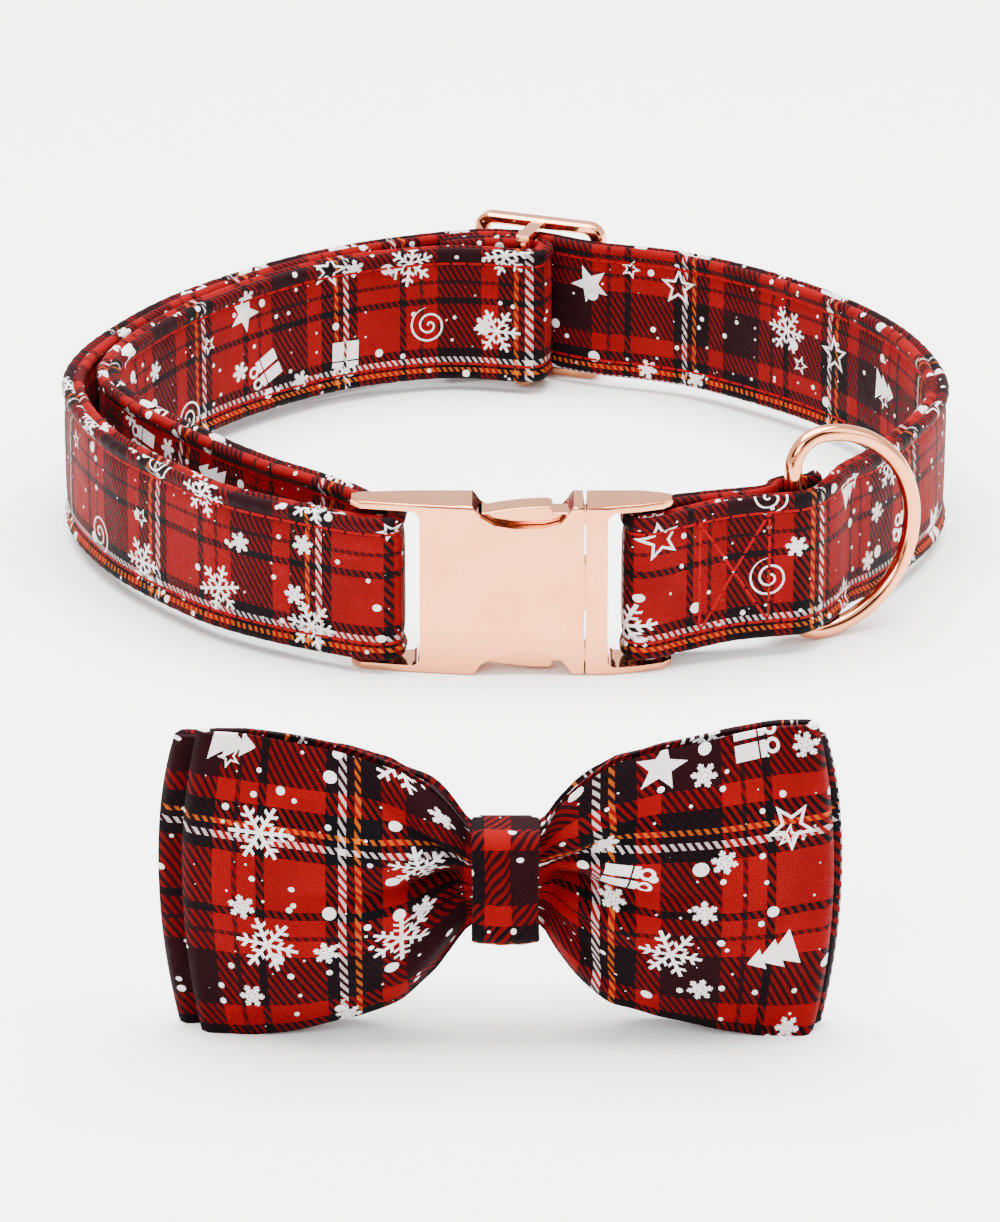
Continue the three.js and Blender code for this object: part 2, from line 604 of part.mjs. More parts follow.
// Ring, drawn flat: its bar on the Y axis, its bow towards X
const ringOutline = (off, corner) => {
  const half = RING_HEIGHT / 2 - RING_WIRE / 2 + off;
  const shape = new THREE.Shape();
  shape.moveTo(-off + corner, -half).lineTo(RING_STRAIGHT, -half);
  shape.absarc(RING_STRAIGHT, 0, half, -Math.PI / 2, Math.PI / 2, false);
  shape.lineTo(-off + corner, half).absarc(-off + corner, half - corner, corner, Math.PI / 2, Math.PI, false);
  shape.lineTo(-off, corner - half).absarc(-off + corner, corner - half, corner, Math.PI, 1.5 * Math.PI, false);
  return shape;
};
const ring = () => {
  const outline = ringOutline(RING_WIRE / 2, RING_CORNER + RING_WIRE);
  outline.holes.push(ringOutline(-RING_WIRE / 2, RING_CORNER));
  const flat = new THREE.ExtrudeGeometry(outline, {
    depth: RING_DEPTH - 2 * RING_BEVEL,
    bevelThickness: RING_BEVEL,
    bevelSize: RING_BEVEL,
    bevelOffset: -RING_BEVEL,
    bevelSegments: 1,
    curveSegments: 12,
  });
  return flat.translate(0, 0, RING_BEVEL - RING_DEPTH / 2).rotateX(Math.PI / 2);
};

// Bow layers: each is a flattened loop of cloth, pinched in the middle
const CLOTH_PITCH = BOW_CLOTH + GAP;
const lobeRows = (halfLength) => {
  const longer = halfLength - FRONT_HALF_LENGTH;
  const rows = LOBE.map((row) => ({
    ...row,
    x: row.along * FRONT_HALF_LENGTH + longer * THREE.MathUtils.smoothstep(row.along, 0.47, 0.95),
  }));
  return [...rows, { ...rows[rows.length - 1], x: halfLength, bulge: 0.04 }];
};
// A layer's middle line as one loop, each point with the row that shapes it
const bowFaces = (rows, front, back) => {
  const faces = rows.slice(0, -1);
  const point = (x, flat, puff, row) => ({ spot: new THREE.Vector2(x, flat + puff), puff, row });
  const side = (way, { at, bulge }) => faces.map((row) => point(way * row.x, at, row.bulge * bulge, row));
  const last = rows[rows.length - 1];
  const middle = (front.at + back.at) / 2;
  const puff = (front.bulge + back.bulge) * last.bulge;
  return [
    ...side(-1, front).reverse(),
    ...side(1, front).slice(1),
    point(last.x, middle, puff, last),
    ...side(1, back).reverse(),
    ...side(-1, back).slice(1),
    point(-last.x, middle, puff, last),
  ];
};
const offsetLoop = (points, off) =>
  points.map(({ spot, ...shaping }, i) => {
    const ahead = points[(i + 1) % points.length].spot;
    const behind = points[(i + points.length - 1) % points.length].spot;
    const before = spot.clone().sub(behind).normalize();
    const after = ahead.clone().sub(spot).normalize();
    const way = before.clone().add(after).normalize();
    const miter = Math.min(1 / Math.max(way.dot(after), 0.6), 1.4);
    return { spot: new THREE.Vector2(spot.x + way.y * off * miter, spot.y - way.x * off * miter), ...shaping };
  });
// A wall of quads between an outer and an inner loop, run up through the rows
const bowLayer = (halfLength, front, back) => {
  const middle = bowFaces(lobeRows(halfLength), front, back);
  const loops = [offsetLoop(middle, BOW_CLOTH / 2), offsetLoop(middle, -BOW_CLOTH / 2)];
  const count = middle.length;
  const corners = BOW_ROWS.flatMap((up) =>
    loops.flat().flatMap(({ spot, puff, row }) => {
      const pleat = PLEAT_DEPTH * row.pleat * Math.exp(-((up / PLEAT_WIDTH) ** 2));
      const fallen = puff * EDGE_FALL * up * up;
      const bowed = 1 - END_BOWING * up * up * THREE.MathUtils.smoothstep(row.x / halfLength, 0.5, 1);
      return [spot.x * bowed, BOW_AT + spot.y - fallen + pleat, BOW_HALF_HEIGHT * (1 + up * row.half)];
    }),
  );
  const corner = (row, loop, i) => (row * loops.length + loop) * count + (i % count);
  const quad = (a, b, c, d) => [a, b, c, a, c, d];
  const top = BOW_ROWS.length - 1;
  const faces = [];
  for (let i = 0; i < count; i += 1) {
    for (let row = 0; row < top; row += 1) {
      faces.push(...quad(corner(row, 0, i), corner(row, 0, i + 1), corner(row + 1, 0, i + 1), corner(row + 1, 0, i)));
      faces.push(...quad(corner(row, 1, i + 1), corner(row, 1, i), corner(row + 1, 1, i), corner(row + 1, 1, i + 1)));
    }
    faces.push(...quad(corner(top, 0, i), corner(top, 0, i + 1), corner(top, 1, i + 1), corner(top, 1, i)));
    faces.push(...quad(corner(0, 0, i + 1), corner(0, 0, i), corner(0, 1, i), corner(0, 1, i + 1)));
  }
  const body = new THREE.BufferGeometry();
  body.setAttribute("position", new THREE.Float32BufferAttribute(corners, 3));
  body.setIndex(faces);
  body.computeVertexNormals();
  return body;
};
const LAYER_FACES = {
  frontLayer: [
    { at: -1.5 * CLOTH_PITCH, bulge: -LOBE_DEPTH },
    { at: -0.5 * CLOTH_PITCH, bulge: -LOBE_DEPTH * 0.12 },
  ],
  backLayer: [
    { at: 0.5 * CLOTH_PITCH, bulge: LOBE_DEPTH * 0.12 },
    { at: 1.5 * CLOTH_PITCH, bulge: LOBE_DEPTH },
  ],
};

// Knot and elastic: closed bands, run along X
const bandAlongX = (width, outer, inner, at) => {
  outer.holes.push(inner);
  const band = new THREE.ExtrudeGeometry(outer, { depth: width, bevelEnabled: false, curveSegments: 5 });
  return band.rotateY(Math.PI / 2).translate(-width / 2, at, BOW_HALF_HEIGHT);
};
const stack = 2 * CLOTH_PITCH - GAP / 2 + GAP; // half depth of the gathered cloth and its clearance
const KNOT_BACK = stack + KNOT_CLOTH;
const knot = () => {
  const high = KNOT_HEIGHT / 2;
  const outer = rounded(-high, -KNOT_BACK, high, KNOT_BACK, KNOT_CLOTH * 1.6);
  const inner = rounded(KNOT_CLOTH - high, -stack, high - KNOT_CLOTH, stack, KNOT_CLOTH * 0.6);
  return bandAlongX(KNOT_WIDTH, outer, inner, BOW_AT);
};
const elastic = () => {
  const high = ELASTIC_HEIGHT / 2;
  const near = KNOT_BACK + GAP;
  const far = near + ELASTIC_REACH;
  const wall = ELASTIC_CLOTH;
  const outer = rounded(-high, near, high, far, ELASTIC_REACH / 2.2);
  const inner = rounded(wall - high, near + wall, high - wall, far - wall, ELASTIC_REACH / 2.2 - wall);
  return bandAlongX(ELASTIC_WIDTH, outer, inner, BOW_AT);
};

// The whole object, on its origin: the middle of its footprint, at its lowest point
const part = new THREE.Group();
const collar = new THREE.Group();
const add = (name, geometry, material, parent = collar) => {
  const mesh = new THREE.Mesh(geometry, material);
  mesh.name = name;
  parent.add(mesh);
  return mesh;
};
add("strap", strap(), fabric(0xb5161b));
add("buckle_socket", socketHalf(), plated());
add("buckle_plug", plugHalf(), plated());
add("release_arm_upper", arm(true), plated());
add("release_arm_lower", arm(false), plated());
const adjuster = new THREE.Group();
adjuster.applyMatrix4(sliderPlace);
add("slider", slider(), plated(), adjuster);
collar.add(adjuster);
const lead = new THREE.Group();
lead.position.set(ringBar.x, ringBar.y, RING_HEIGHT / 2);
lead.rotation.z = RING_SWING;
add("d_ring", ring(), plated(), lead);
collar.add(lead);
add("bow_front", bowLayer(FRONT_HALF_LENGTH, ...LAYER_FACES.frontLayer), fabric(0xb5161b));
add("bow_back", bowLayer(BACK_HALF_LENGTH, ...LAYER_FACES.backLayer), fabric(0xa01318));
add("bow_knot", knot(), fabric(0xb5161b));
add("bow_elastic", elastic(), fabric(0x1c1417));
part.add(collar);
const box = new THREE.Box3().setFromObject(part, true);
collar.position.set(-(box.min.x + box.max.x) / 2, -(box.min.y + box.max.y) / 2, -box.min.z);

export default part;
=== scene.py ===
# %% [markdown]
# # A tartan pet collar and its bow tie
#
# The real object is a one inch collar for a dog or a large cat: red tartan
# cloth sewn round webbing, closed by a polished rose gold buckle, with a ring
# for the lead and a sliding adjuster at the back. A bow tie of the same cloth
# stands in front of it. The model was worked out in CAD first, so this lesson
# starts by loading that frame and keeps every piece where the frame has it.

import math

import bpy
import numpy as np
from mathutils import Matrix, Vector, noise


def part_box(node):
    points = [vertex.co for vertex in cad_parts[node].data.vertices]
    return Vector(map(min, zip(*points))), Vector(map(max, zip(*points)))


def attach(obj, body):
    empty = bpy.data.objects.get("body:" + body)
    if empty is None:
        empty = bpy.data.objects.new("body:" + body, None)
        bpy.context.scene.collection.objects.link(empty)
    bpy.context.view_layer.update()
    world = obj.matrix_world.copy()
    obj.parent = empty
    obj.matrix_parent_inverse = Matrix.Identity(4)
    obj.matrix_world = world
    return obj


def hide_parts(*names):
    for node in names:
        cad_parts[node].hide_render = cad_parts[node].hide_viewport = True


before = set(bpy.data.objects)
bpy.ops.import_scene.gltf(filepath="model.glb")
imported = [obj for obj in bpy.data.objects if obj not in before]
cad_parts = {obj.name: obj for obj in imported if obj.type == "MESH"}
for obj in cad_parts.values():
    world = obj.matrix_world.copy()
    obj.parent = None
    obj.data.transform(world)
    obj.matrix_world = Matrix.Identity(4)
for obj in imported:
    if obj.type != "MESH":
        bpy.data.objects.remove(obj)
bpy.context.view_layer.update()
print("nodes", sorted(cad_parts))

# %% [markdown]
# ## Units, and a camera where the photographer stood
#
# Sizes here are in millimetres, as a maker writes them, and one value turns
# them to metres. The camera looks along +Y, from 22 degrees above the table,
# with a long lens, so near and far pieces keep almost the same scale.

# %% Camera
MM = 0.001
CAMERA_ELEVATION = math.radians(22)
CAMERA_DISTANCE = 1175 * MM
LOOKED_AT = Vector((-0.8, -2.88, 11.6)) * MM
LENS = 209.5

camera_data = bpy.data.cameras.new("camera")
camera_data.lens = LENS
camera_data.clip_start = 0.05
camera = bpy.data.objects.new("camera", camera_data)
bpy.context.scene.collection.objects.link(camera)
backwards = Vector((0, -math.cos(CAMERA_ELEVATION), math.sin(CAMERA_ELEVATION)))
camera.location = LOOKED_AT + backwards * CAMERA_DISTANCE
camera.rotation_euler = (-backwards).to_track_quat("-Z", "Y").to_euler()
bpy.context.scene.camera = camera
print("camera at", tuple(round(v, 3) for v in camera.location))

# %% [markdown]
# ## A node helper and honest colours
#
# Colours are picked as sRGB hex values, but the shader adds light, which is
# linear, so one function turns them. Another adds any node, links or fills
# its sockets in order, and sets its options. A node given as an input stands
# for its first output.


# %% Helpers for materials
def linear(hex_colour):
    channels = [int(hex_colour[i : i + 2], 16) / 255 for i in (0, 2, 4)]
    return [c / 12.92 if c <= 0.04045 else ((c + 0.055) / 1.055) ** 2.4 for c in channels] + [1.0]


def add_node(tree, kind, *inputs, **settings):
    made = tree.nodes.new(kind)
    for name, value in settings.items():
        setattr(made, name, value)
    for socket, value in zip(made.inputs, inputs):
        if isinstance(value, bpy.types.Node):
            value = value.outputs[0]
        if isinstance(value, bpy.types.NodeSocket):
            tree.links.new(value, socket)
        elif value is not None:
            socket.default_value = value
    return made


def new_material(name, roughness, metallic=0.0, ior=1.5):
    made = bpy.data.materials.new(name)
    made.use_nodes = True
    shader = made.node_tree.nodes["Principled BSDF"]
    shader.inputs["Roughness"].default_value = roughness
    shader.inputs["Metallic"].default_value = metallic
    shader.inputs["IOR"].default_value = ior
    return made, made.node_tree, shader


# %% [markdown]
# ## The tartan
#
# A tartan is a list of stripes, the sett, and the same list is used for the
# threads that run along the cloth and those that run across it. Where the two
# cross, the twill weave shows one of them on each diagonal rib, so two
# colours mix in slanting lines. The shader does just that: one ramp reads the
# sett across, another reads it along, and a diagonal ruler picks between them.
# Places on the cloth come from a UV map that is in millimetres of sett.

# %% Tartan colours and ruler
SETT_REPEAT = 35.2
SETT = [
    (0.0, "040204"),
    (0.3, "A84A02"),
    (1.2, "040204"),
    (2.3, "C0B4B4"),
    (3.4, "040204"),
    (5.1, "690002"),
    (13.7, "060305"),
    (14.9, "690002"),
    (17.6, "240306"),
    (18.2, "690002"),
    (21.0, "160104"),
    (29.3, "690002"),
    (32.6, "040204"),
]
RIB_PITCH = 1.0  # from one slanting rib to the next
RIB_LEAN = math.radians(58)
CROSSING = 0.45  # how far a dark stripe tints the one that it crosses


def sett_ramp(tree, place):
    turned = add_node(tree, "ShaderNodeMath", place, SETT_REPEAT, operation="DIVIDE")
    share = add_node(tree, "ShaderNodeMath", turned, operation="FRACT")
    ramp = add_node(tree, "ShaderNodeValToRGB", share)
    stripes = ramp.color_ramp
    stripes.interpolation = "CONSTANT"
    stripes.elements[0].color = linear(SETT[0][1])
    stripes.elements[1].position = SETT[1][0] / SETT_REPEAT
    stripes.elements[1].color = linear(SETT[1][1])
    for start, colour in SETT[2:]:
        stripes.elements.new(start / SETT_REPEAT).color = linear(colour)
    return ramp


def tartan(tree, cloth_x, cloth_y, way=1):
    x_ribs = math.sin(RIB_LEAN) / RIB_PITCH
    y_ribs = way * math.cos(RIB_LEAN) / RIB_PITCH
    lean_x = add_node(tree, "ShaderNodeMath", cloth_x, x_ribs, operation="MULTIPLY")
    lean = add_node(tree, "ShaderNodeMath", cloth_y, y_ribs, lean_x, operation="MULTIPLY_ADD")
    rib = add_node(tree, "ShaderNodeMath", lean, operation="FRACT")
    on_rib = add_node(tree, "ShaderNodeMath", rib, 0.5, operation="GREATER_THAN")
    along = sett_ramp(tree, cloth_x)
    across = sett_ramp(tree, cloth_y)
    woven = add_node(tree, "ShaderNodeMix", data_type="RGBA")
    tree.links.new(on_rib.outputs[0], woven.inputs["Factor"])
    tree.links.new(along.outputs[0], woven.inputs["A"])
    tree.links.new(across.outputs[0], woven.inputs["B"])
    for thread in (along, across):
        crossed = add_node(tree, "ShaderNodeMix", CROSSING, data_type="RGBA", blend_type="DARKEN")
        tree.links.new(woven.outputs["Result"], crossed.inputs["A"])
        tree.links.new(thread.outputs[0], crossed.inputs["B"])
        woven = crossed
    return woven.outputs["Result"]


# %% [markdown]
# ## The winter print
#
# Over the tartan the cloth carries a white print of snow, flakes, stars,
# curls, firs and parcels. Each is drawn by a formula in a cell of a Voronoi
# texture, which scatters cells without a repeat: the cell gives a middle to
# measure from and a random value that picks the drawing and turns it.

# %% Print helpers
PRINT_CELL = 19.0
PRINT_RADIUS = 4.4
PRINT_LINE = 0.26
PRINT_WHITE = "D0CACA"
SMALL_CELL = 13.0
SMALL_RADIUS = 1.9
SMALL_LINE = 0.2
SNOW = [(8.6, 0.1, 1.15), (5.4, 0.0, 0.5)]  # cell, smallest and largest dot


def polar_cell(tree, cloth, size, randomness):
    cell = add_node(tree, "ShaderNodeTexVoronoi", cloth, None, 1 / size, voronoi_dimensions="2D", feature="F1")
    cell.inputs["Randomness"].default_value = randomness
    offset = add_node(tree, "ShaderNodeVectorMath", cloth, cell.outputs["Position"], operation="SUBTRACT")
    apart = add_node(tree, "ShaderNodeSeparateXYZ", offset)
    reach = add_node(tree, "ShaderNodeVectorMath", offset, operation="LENGTH").outputs["Value"]
    luck = add_node(tree, "ShaderNodeSeparateColor", cell.outputs["Color"])
    bearing = add_node(tree, "ShaderNodeMath", apart.outputs[1], apart.outputs[0], operation="ARCTAN2")
    turned = add_node(tree, "ShaderNodeMath", luck.outputs[1], math.tau, bearing, operation="MULTIPLY_ADD")
    return reach, turned, luck


def folded(tree, reach, turned, points):
    fold = add_node(tree, "ShaderNodeMath", turned, math.pi / points, operation="PINGPONG")
    cosine = add_node(tree, "ShaderNodeMath", fold, operation="COSINE")
    sine = add_node(tree, "ShaderNodeMath", fold, operation="SINE")
    along = add_node(tree, "ShaderNodeMath", reach, cosine, operation="MULTIPLY")
    beside = add_node(tree, "ShaderNodeMath", reach, sine, operation="MULTIPLY")
    return along, beside


def all_of(tree, first, *others):
    for other in others:
        first = add_node(tree, "ShaderNodeMath", first, other, operation="MULTIPLY")
    return first


def any_of(tree, first, *others):
    for other in others:
        first = add_node(tree, "ShaderNodeMath", first, other, operation="MAXIMUM")
    return first


# %% Snowflakes and stars, in shares of their radius
TWIG_LEAN = math.radians(60)
TWIGS_AT = (0.34, 0.64)
TWIG_REACH = 0.24
STAR_WAIST = 0.42


def snowflake(tree, reach, turned, radius, line):
    along, beside = folded(tree, reach, turned, 6)
    inside = add_node(tree, "ShaderNodeMath", reach, radius, operation="LESS_THAN")
    spoke = add_node(tree, "ShaderNodeMath", beside, line, operation="LESS_THAN")
    slant = -1 / math.tan(TWIG_LEAN)
    foot = add_node(tree, "ShaderNodeMath", beside, slant, along, operation="MULTIPLY_ADD")
    pairs = [
        add_node(tree, "ShaderNodeMath", foot, at * radius, line, operation="COMPARE")
        for at in TWIGS_AT
    ]
    short = add_node(tree, "ShaderNodeMath", beside, TWIG_REACH * radius, operation="LESS_THAN")
    twigs = all_of(tree, any_of(tree, *pairs), short)
    return all_of(tree, any_of(tree, spoke, twigs), inside)


def star(tree, reach, turned, radius):
    along, beside = folded(tree, reach, turned, 5)
    lean_along = STAR_WAIST * math.sin(math.pi / 5)
    lean_beside = 1 - STAR_WAIST * math.cos(math.pi / 5)
    slope = lean_beside / (lean_along * radius)
    beside_share = add_node(tree, "ShaderNodeMath", beside, slope, operation="MULTIPLY")
    return add_node(tree, "ShaderNodeMath", along, 1 / radius, beside_share, operation="MULTIPLY_ADD")


# %% Curls, firs and parcels, in shares of their radius
CURL_TURNS = 2.2
FIR_TIER = 0.62
FIR_SKIRT = 0.3
FIR_SLOPE = 0.26
FIR_FOOT = -0.8
FIR_TOP = 0.95
PARCEL_HALF_WIDTH = 0.62
PARCEL_HALF_HEIGHT = 0.55
PARCEL_MIDDLE = -0.2
PARCEL_LID = 0.1
LOOP_ASIDE = 0.3
LOOP_UP = 0.58
LOOP_RADIUS = 0.2


def curl(tree, reach, turned, radius, line):
    pitch = radius / CURL_TURNS
    turns = add_node(tree, "ShaderNodeMath", turned, 1 / math.tau, operation="MULTIPLY")
    wound = add_node(tree, "ShaderNodeMath", reach, 1 / pitch, turns, operation="MULTIPLY_ADD")
    share = add_node(tree, "ShaderNodeMath", wound, operation="FRACT")
    on_line = add_node(tree, "ShaderNodeMath", share, 0.5, line / pitch, operation="COMPARE")
    inside = add_node(tree, "ShaderNodeMath", reach, radius, operation="LESS_THAN")
    return all_of(tree, on_line, inside)


def upright_place(tree, reach, turned):
    cosine = add_node(tree, "ShaderNodeMath", turned, operation="COSINE")
    sine = add_node(tree, "ShaderNodeMath", turned, operation="SINE")
    sideways = add_node(tree, "ShaderNodeMath", reach, cosine, operation="MULTIPLY")
    beside = add_node(tree, "ShaderNodeMath", sideways, operation="ABSOLUTE")
    up = add_node(tree, "ShaderNodeMath", reach, sine, operation="MULTIPLY")
    return beside, up


def fir(tree, beside, up, radius):
    down = add_node(tree, "ShaderNodeMath", radius, up, operation="SUBTRACT")
    tier = add_node(tree, "ShaderNodeMath", down, 1 / (FIR_TIER * radius), operation="MULTIPLY")
    tooth = add_node(tree, "ShaderNodeMath", tier, operation="FRACT")
    skirt = add_node(tree, "ShaderNodeMath", tooth, FIR_SKIRT * radius, operation="MULTIPLY")
    width = add_node(tree, "ShaderNodeMath", down, FIR_SLOPE, skirt, operation="MULTIPLY_ADD")
    inside = add_node(tree, "ShaderNodeMath", beside, width, operation="LESS_THAN")
    above = add_node(tree, "ShaderNodeMath", up, FIR_FOOT * radius, operation="GREATER_THAN")
    below = add_node(tree, "ShaderNodeMath", up, FIR_TOP * radius, operation="LESS_THAN")
    return all_of(tree, inside, above, below)


def parcel(tree, beside, up, radius, line):
    wide = add_node(tree, "ShaderNodeMath", beside, PARCEL_HALF_WIDTH * radius, operation="LESS_THAN")
    middle, half_height = PARCEL_MIDDLE * radius, PARCEL_HALF_HEIGHT * radius
    high = add_node(tree, "ShaderNodeMath", up, middle, half_height, operation="COMPARE")
    off_ribbon = add_node(tree, "ShaderNodeMath", beside, 1.3 * line, operation="GREATER_THAN")
    lid = add_node(tree, "ShaderNodeMath", up, PARCEL_LID * radius, 0.6 * line, operation="COMPARE")
    off_lid = add_node(tree, "ShaderNodeMath", 1.0, lid, operation="SUBTRACT")
    box = all_of(tree, wide, high, off_ribbon, off_lid)
    aside = add_node(tree, "ShaderNodeMath", beside, LOOP_ASIDE * radius, operation="SUBTRACT")
    above = add_node(tree, "ShaderNodeMath", up, LOOP_UP * radius, operation="SUBTRACT")
    from_loop = add_node(tree, "ShaderNodeCombineXYZ", aside, above)
    loop_reach = add_node(tree, "ShaderNodeVectorMath", from_loop, operation="LENGTH").outputs["Value"]
    loop = add_node(tree, "ShaderNodeMath", loop_reach, LOOP_RADIUS * radius, line, operation="COMPARE")
    return any_of(tree, box, loop)


# %% The whole print
def picked(tree, luck, low, high):
    return add_node(
        tree, "ShaderNodeMath", luck.outputs[0], (low + high) / 2, (high - low) / 2, operation="COMPARE"
    )


def snow_dots(tree, cloth, size, least, most):
    cell = add_node(tree, "ShaderNodeTexVoronoi", cloth, None, 1 / size, voronoi_dimensions="2D", feature="F1")
    luck = add_node(tree, "ShaderNodeSeparateColor", cell.outputs["Color"])
    rare = add_node(tree, "ShaderNodeMath", luck.outputs[0], 2.0, operation="POWER")
    radius = add_node(
        tree, "ShaderNodeMath", rare, (most - least) / size, least / size, operation="MULTIPLY_ADD"
    )
    return add_node(tree, "ShaderNodeMath", cell.outputs["Distance"], radius, operation="LESS_THAN")


def winter_print(tree, cloth):
    radius, line = PRINT_RADIUS, PRINT_LINE
    reach, turned, luck = polar_cell(tree, cloth, PRINT_CELL, 0.55)
    beside, up = upright_place(tree, reach, turned)
    edge = star(tree, reach, turned, radius * 0.85)
    solid_star = add_node(tree, "ShaderNodeMath", edge, 1.0, operation="LESS_THAN")
    star_line = add_node(tree, "ShaderNodeMath", edge, 0.84, 0.16, operation="COMPARE")
    drawings = [
        (snowflake(tree, reach, turned, radius, line), 0.0, 0.4),
        (solid_star, 0.4, 0.5),
        (star_line, 0.5, 0.62),
        (curl(tree, reach, turned, radius * 0.8, 0.7 * line), 0.62, 0.74),
        (fir(tree, beside, up, radius * 0.9), 0.74, 0.88),
        (parcel(tree, beside, up, radius, line), 0.88, 1.0),
    ]
    chosen = [all_of(tree, shape, picked(tree, luck, low, high)) for shape, low, high in drawings]
    large = any_of(tree, *chosen)
    small_reach, small_turned, small_luck = polar_cell(tree, cloth, SMALL_CELL, 0.8)
    small_flake = snowflake(tree, small_reach, small_turned, SMALL_RADIUS, SMALL_LINE)
    small_edge = star(tree, small_reach, small_turned, SMALL_RADIUS)
    small_star = add_node(tree, "ShaderNodeMath", small_edge, 0.8, 0.2, operation="COMPARE")
    small = any_of(
        tree,
        all_of(tree, small_flake, picked(tree, small_luck, 0.0, 0.34)),
        all_of(tree, small_star, picked(tree, small_luck, 0.34, 0.5)),
    )
    snow = [snow_dots(tree, cloth, *sizes) for sizes in SNOW]
    return any_of(tree, large, small, *snow)


# %% [markdown]
# ## Cloth materials
#
# The strap is a close, slightly shiny polyester print, and the bow a plainer
# cotton feel with a grain you can see. Both are rough, with a little sheen
# from loose fibres. Real threads lie about 0.3 mm apart, too fine to show, so
# the grain is drawn at 0.45 mm on the bow and 0.5 mm on the strap. On the
# strap a second UV map, in plain millimetres, carries the sewing: a line of
# stitches inside each edge, and the crossed box that holds the folded end.

# %% Shared cloth surface
BOW_THREAD = 0.45
STRAP_THREAD = 0.5
GRAIN_SHADE = 0.09
WEAR_SCALE = 0.12
RUMPLE = 4.5
RUMPLE_HEIGHT = 9.0


def weave_grain(tree, place, thread):
    warp = add_node(tree, "ShaderNodeMath", place.outputs[0], math.tau / thread, operation="MULTIPLY")
    weft = add_node(tree, "ShaderNodeMath", place.outputs[1], math.tau / thread, operation="MULTIPLY")
    warp_wave = add_node(tree, "ShaderNodeMath", warp, operation="SINE")
    weft_wave = add_node(tree, "ShaderNodeMath", weft, operation="SINE")
    return add_node(tree, "ShaderNodeMath", warp_wave, weft_wave, operation="MULTIPLY")


def cloth_surface(tree, uv_name, thread, relief):
    cloth = add_node(tree, "ShaderNodeUVMap", uv_map=uv_name).outputs[0]
    place = add_node(tree, "ShaderNodeSeparateXYZ", cloth)
    woven = tartan(tree, place.outputs[0], place.outputs[1])
    white = winter_print(tree, cloth)
    grain = weave_grain(tree, place, thread)
    printed = add_node(tree, "ShaderNodeMix", data_type="RGBA")
    tree.links.new(white.outputs[0], printed.inputs["Factor"])
    tree.links.new(woven, printed.inputs["A"])
    printed.inputs["B"].default_value = linear(PRINT_WHITE)
    wear = add_node(tree, "ShaderNodeTexNoise", cloth, None, WEAR_SCALE, 4, noise_dimensions="2D")
    shade = add_node(tree, "ShaderNodeMapRange", wear.outputs[0], 0.3, 0.7, 0.86, 1.08)
    thread_shade = add_node(tree, "ShaderNodeMath", grain, GRAIN_SHADE, shade, operation="MULTIPLY_ADD")
    shaded = add_node(tree, "ShaderNodeVectorMath", printed.outputs["Result"], operation="SCALE")
    tree.links.new(thread_shade.outputs[0], shaded.inputs["Scale"])
    rumple = add_node(tree, "ShaderNodeTexNoise", cloth, None, 1 / RUMPLE, 2, noise_dimensions="2D")
    rumpled = add_node(tree, "ShaderNodeMath", rumple.outputs[0], RUMPLE_HEIGHT, operation="MULTIPLY")
    height = add_node(tree, "ShaderNodeMath", grain, relief, rumpled, operation="MULTIPLY_ADD")
    return shaded.outputs[0], height


def finish_cloth(tree, shader, colour, height, distance):
    tree.links.new(colour, shader.inputs["Base Color"])
    bump = add_node(tree, "ShaderNodeBump")
    bump.inputs["Strength"].default_value = 0.7
    bump.inputs["Distance"].default_value = distance
    tree.links.new(height.outputs[0], bump.inputs["Height"])
    tree.links.new(bump.outputs[0], shader.inputs["Normal"])
    shader.inputs["Sheen Weight"].default_value = 0.01
    shader.inputs["Sheen Roughness"].default_value = 0.5
    shader.inputs["Specular IOR Level"].default_value = 0.04


# %% Bow cloth: printed cotton
bow_cloth, bow_tree, bow_shader = new_material("printed_cotton_bow", roughness=0.82)
bow_colour, bow_height = cloth_surface(bow_tree, "cloth", thread=BOW_THREAD, relief=1.0)
finish_cloth(bow_tree, bow_shader, bow_colour, bow_height, 0.06 * MM)
print("bow cloth nodes", len(bow_tree.nodes))

# %% Strap cloth: the same print with its stitching
STITCH_LENGTH = 3.0
STITCH_FILL = 0.86
STITCH_HALF_WIDTH = 0.24
EDGE_STITCH = 9.7


def stitched(tree, line, along):
    share = add_node(tree, "ShaderNodeMath", along, 1 / STITCH_LENGTH, operation="MULTIPLY")
    turn = add_node(tree, "ShaderNodeMath", share, operation="FRACT")
    dash = add_node(tree, "ShaderNodeMath", turn, STITCH_FILL, operation="LESS_THAN")
    return all_of(tree, line, dash)


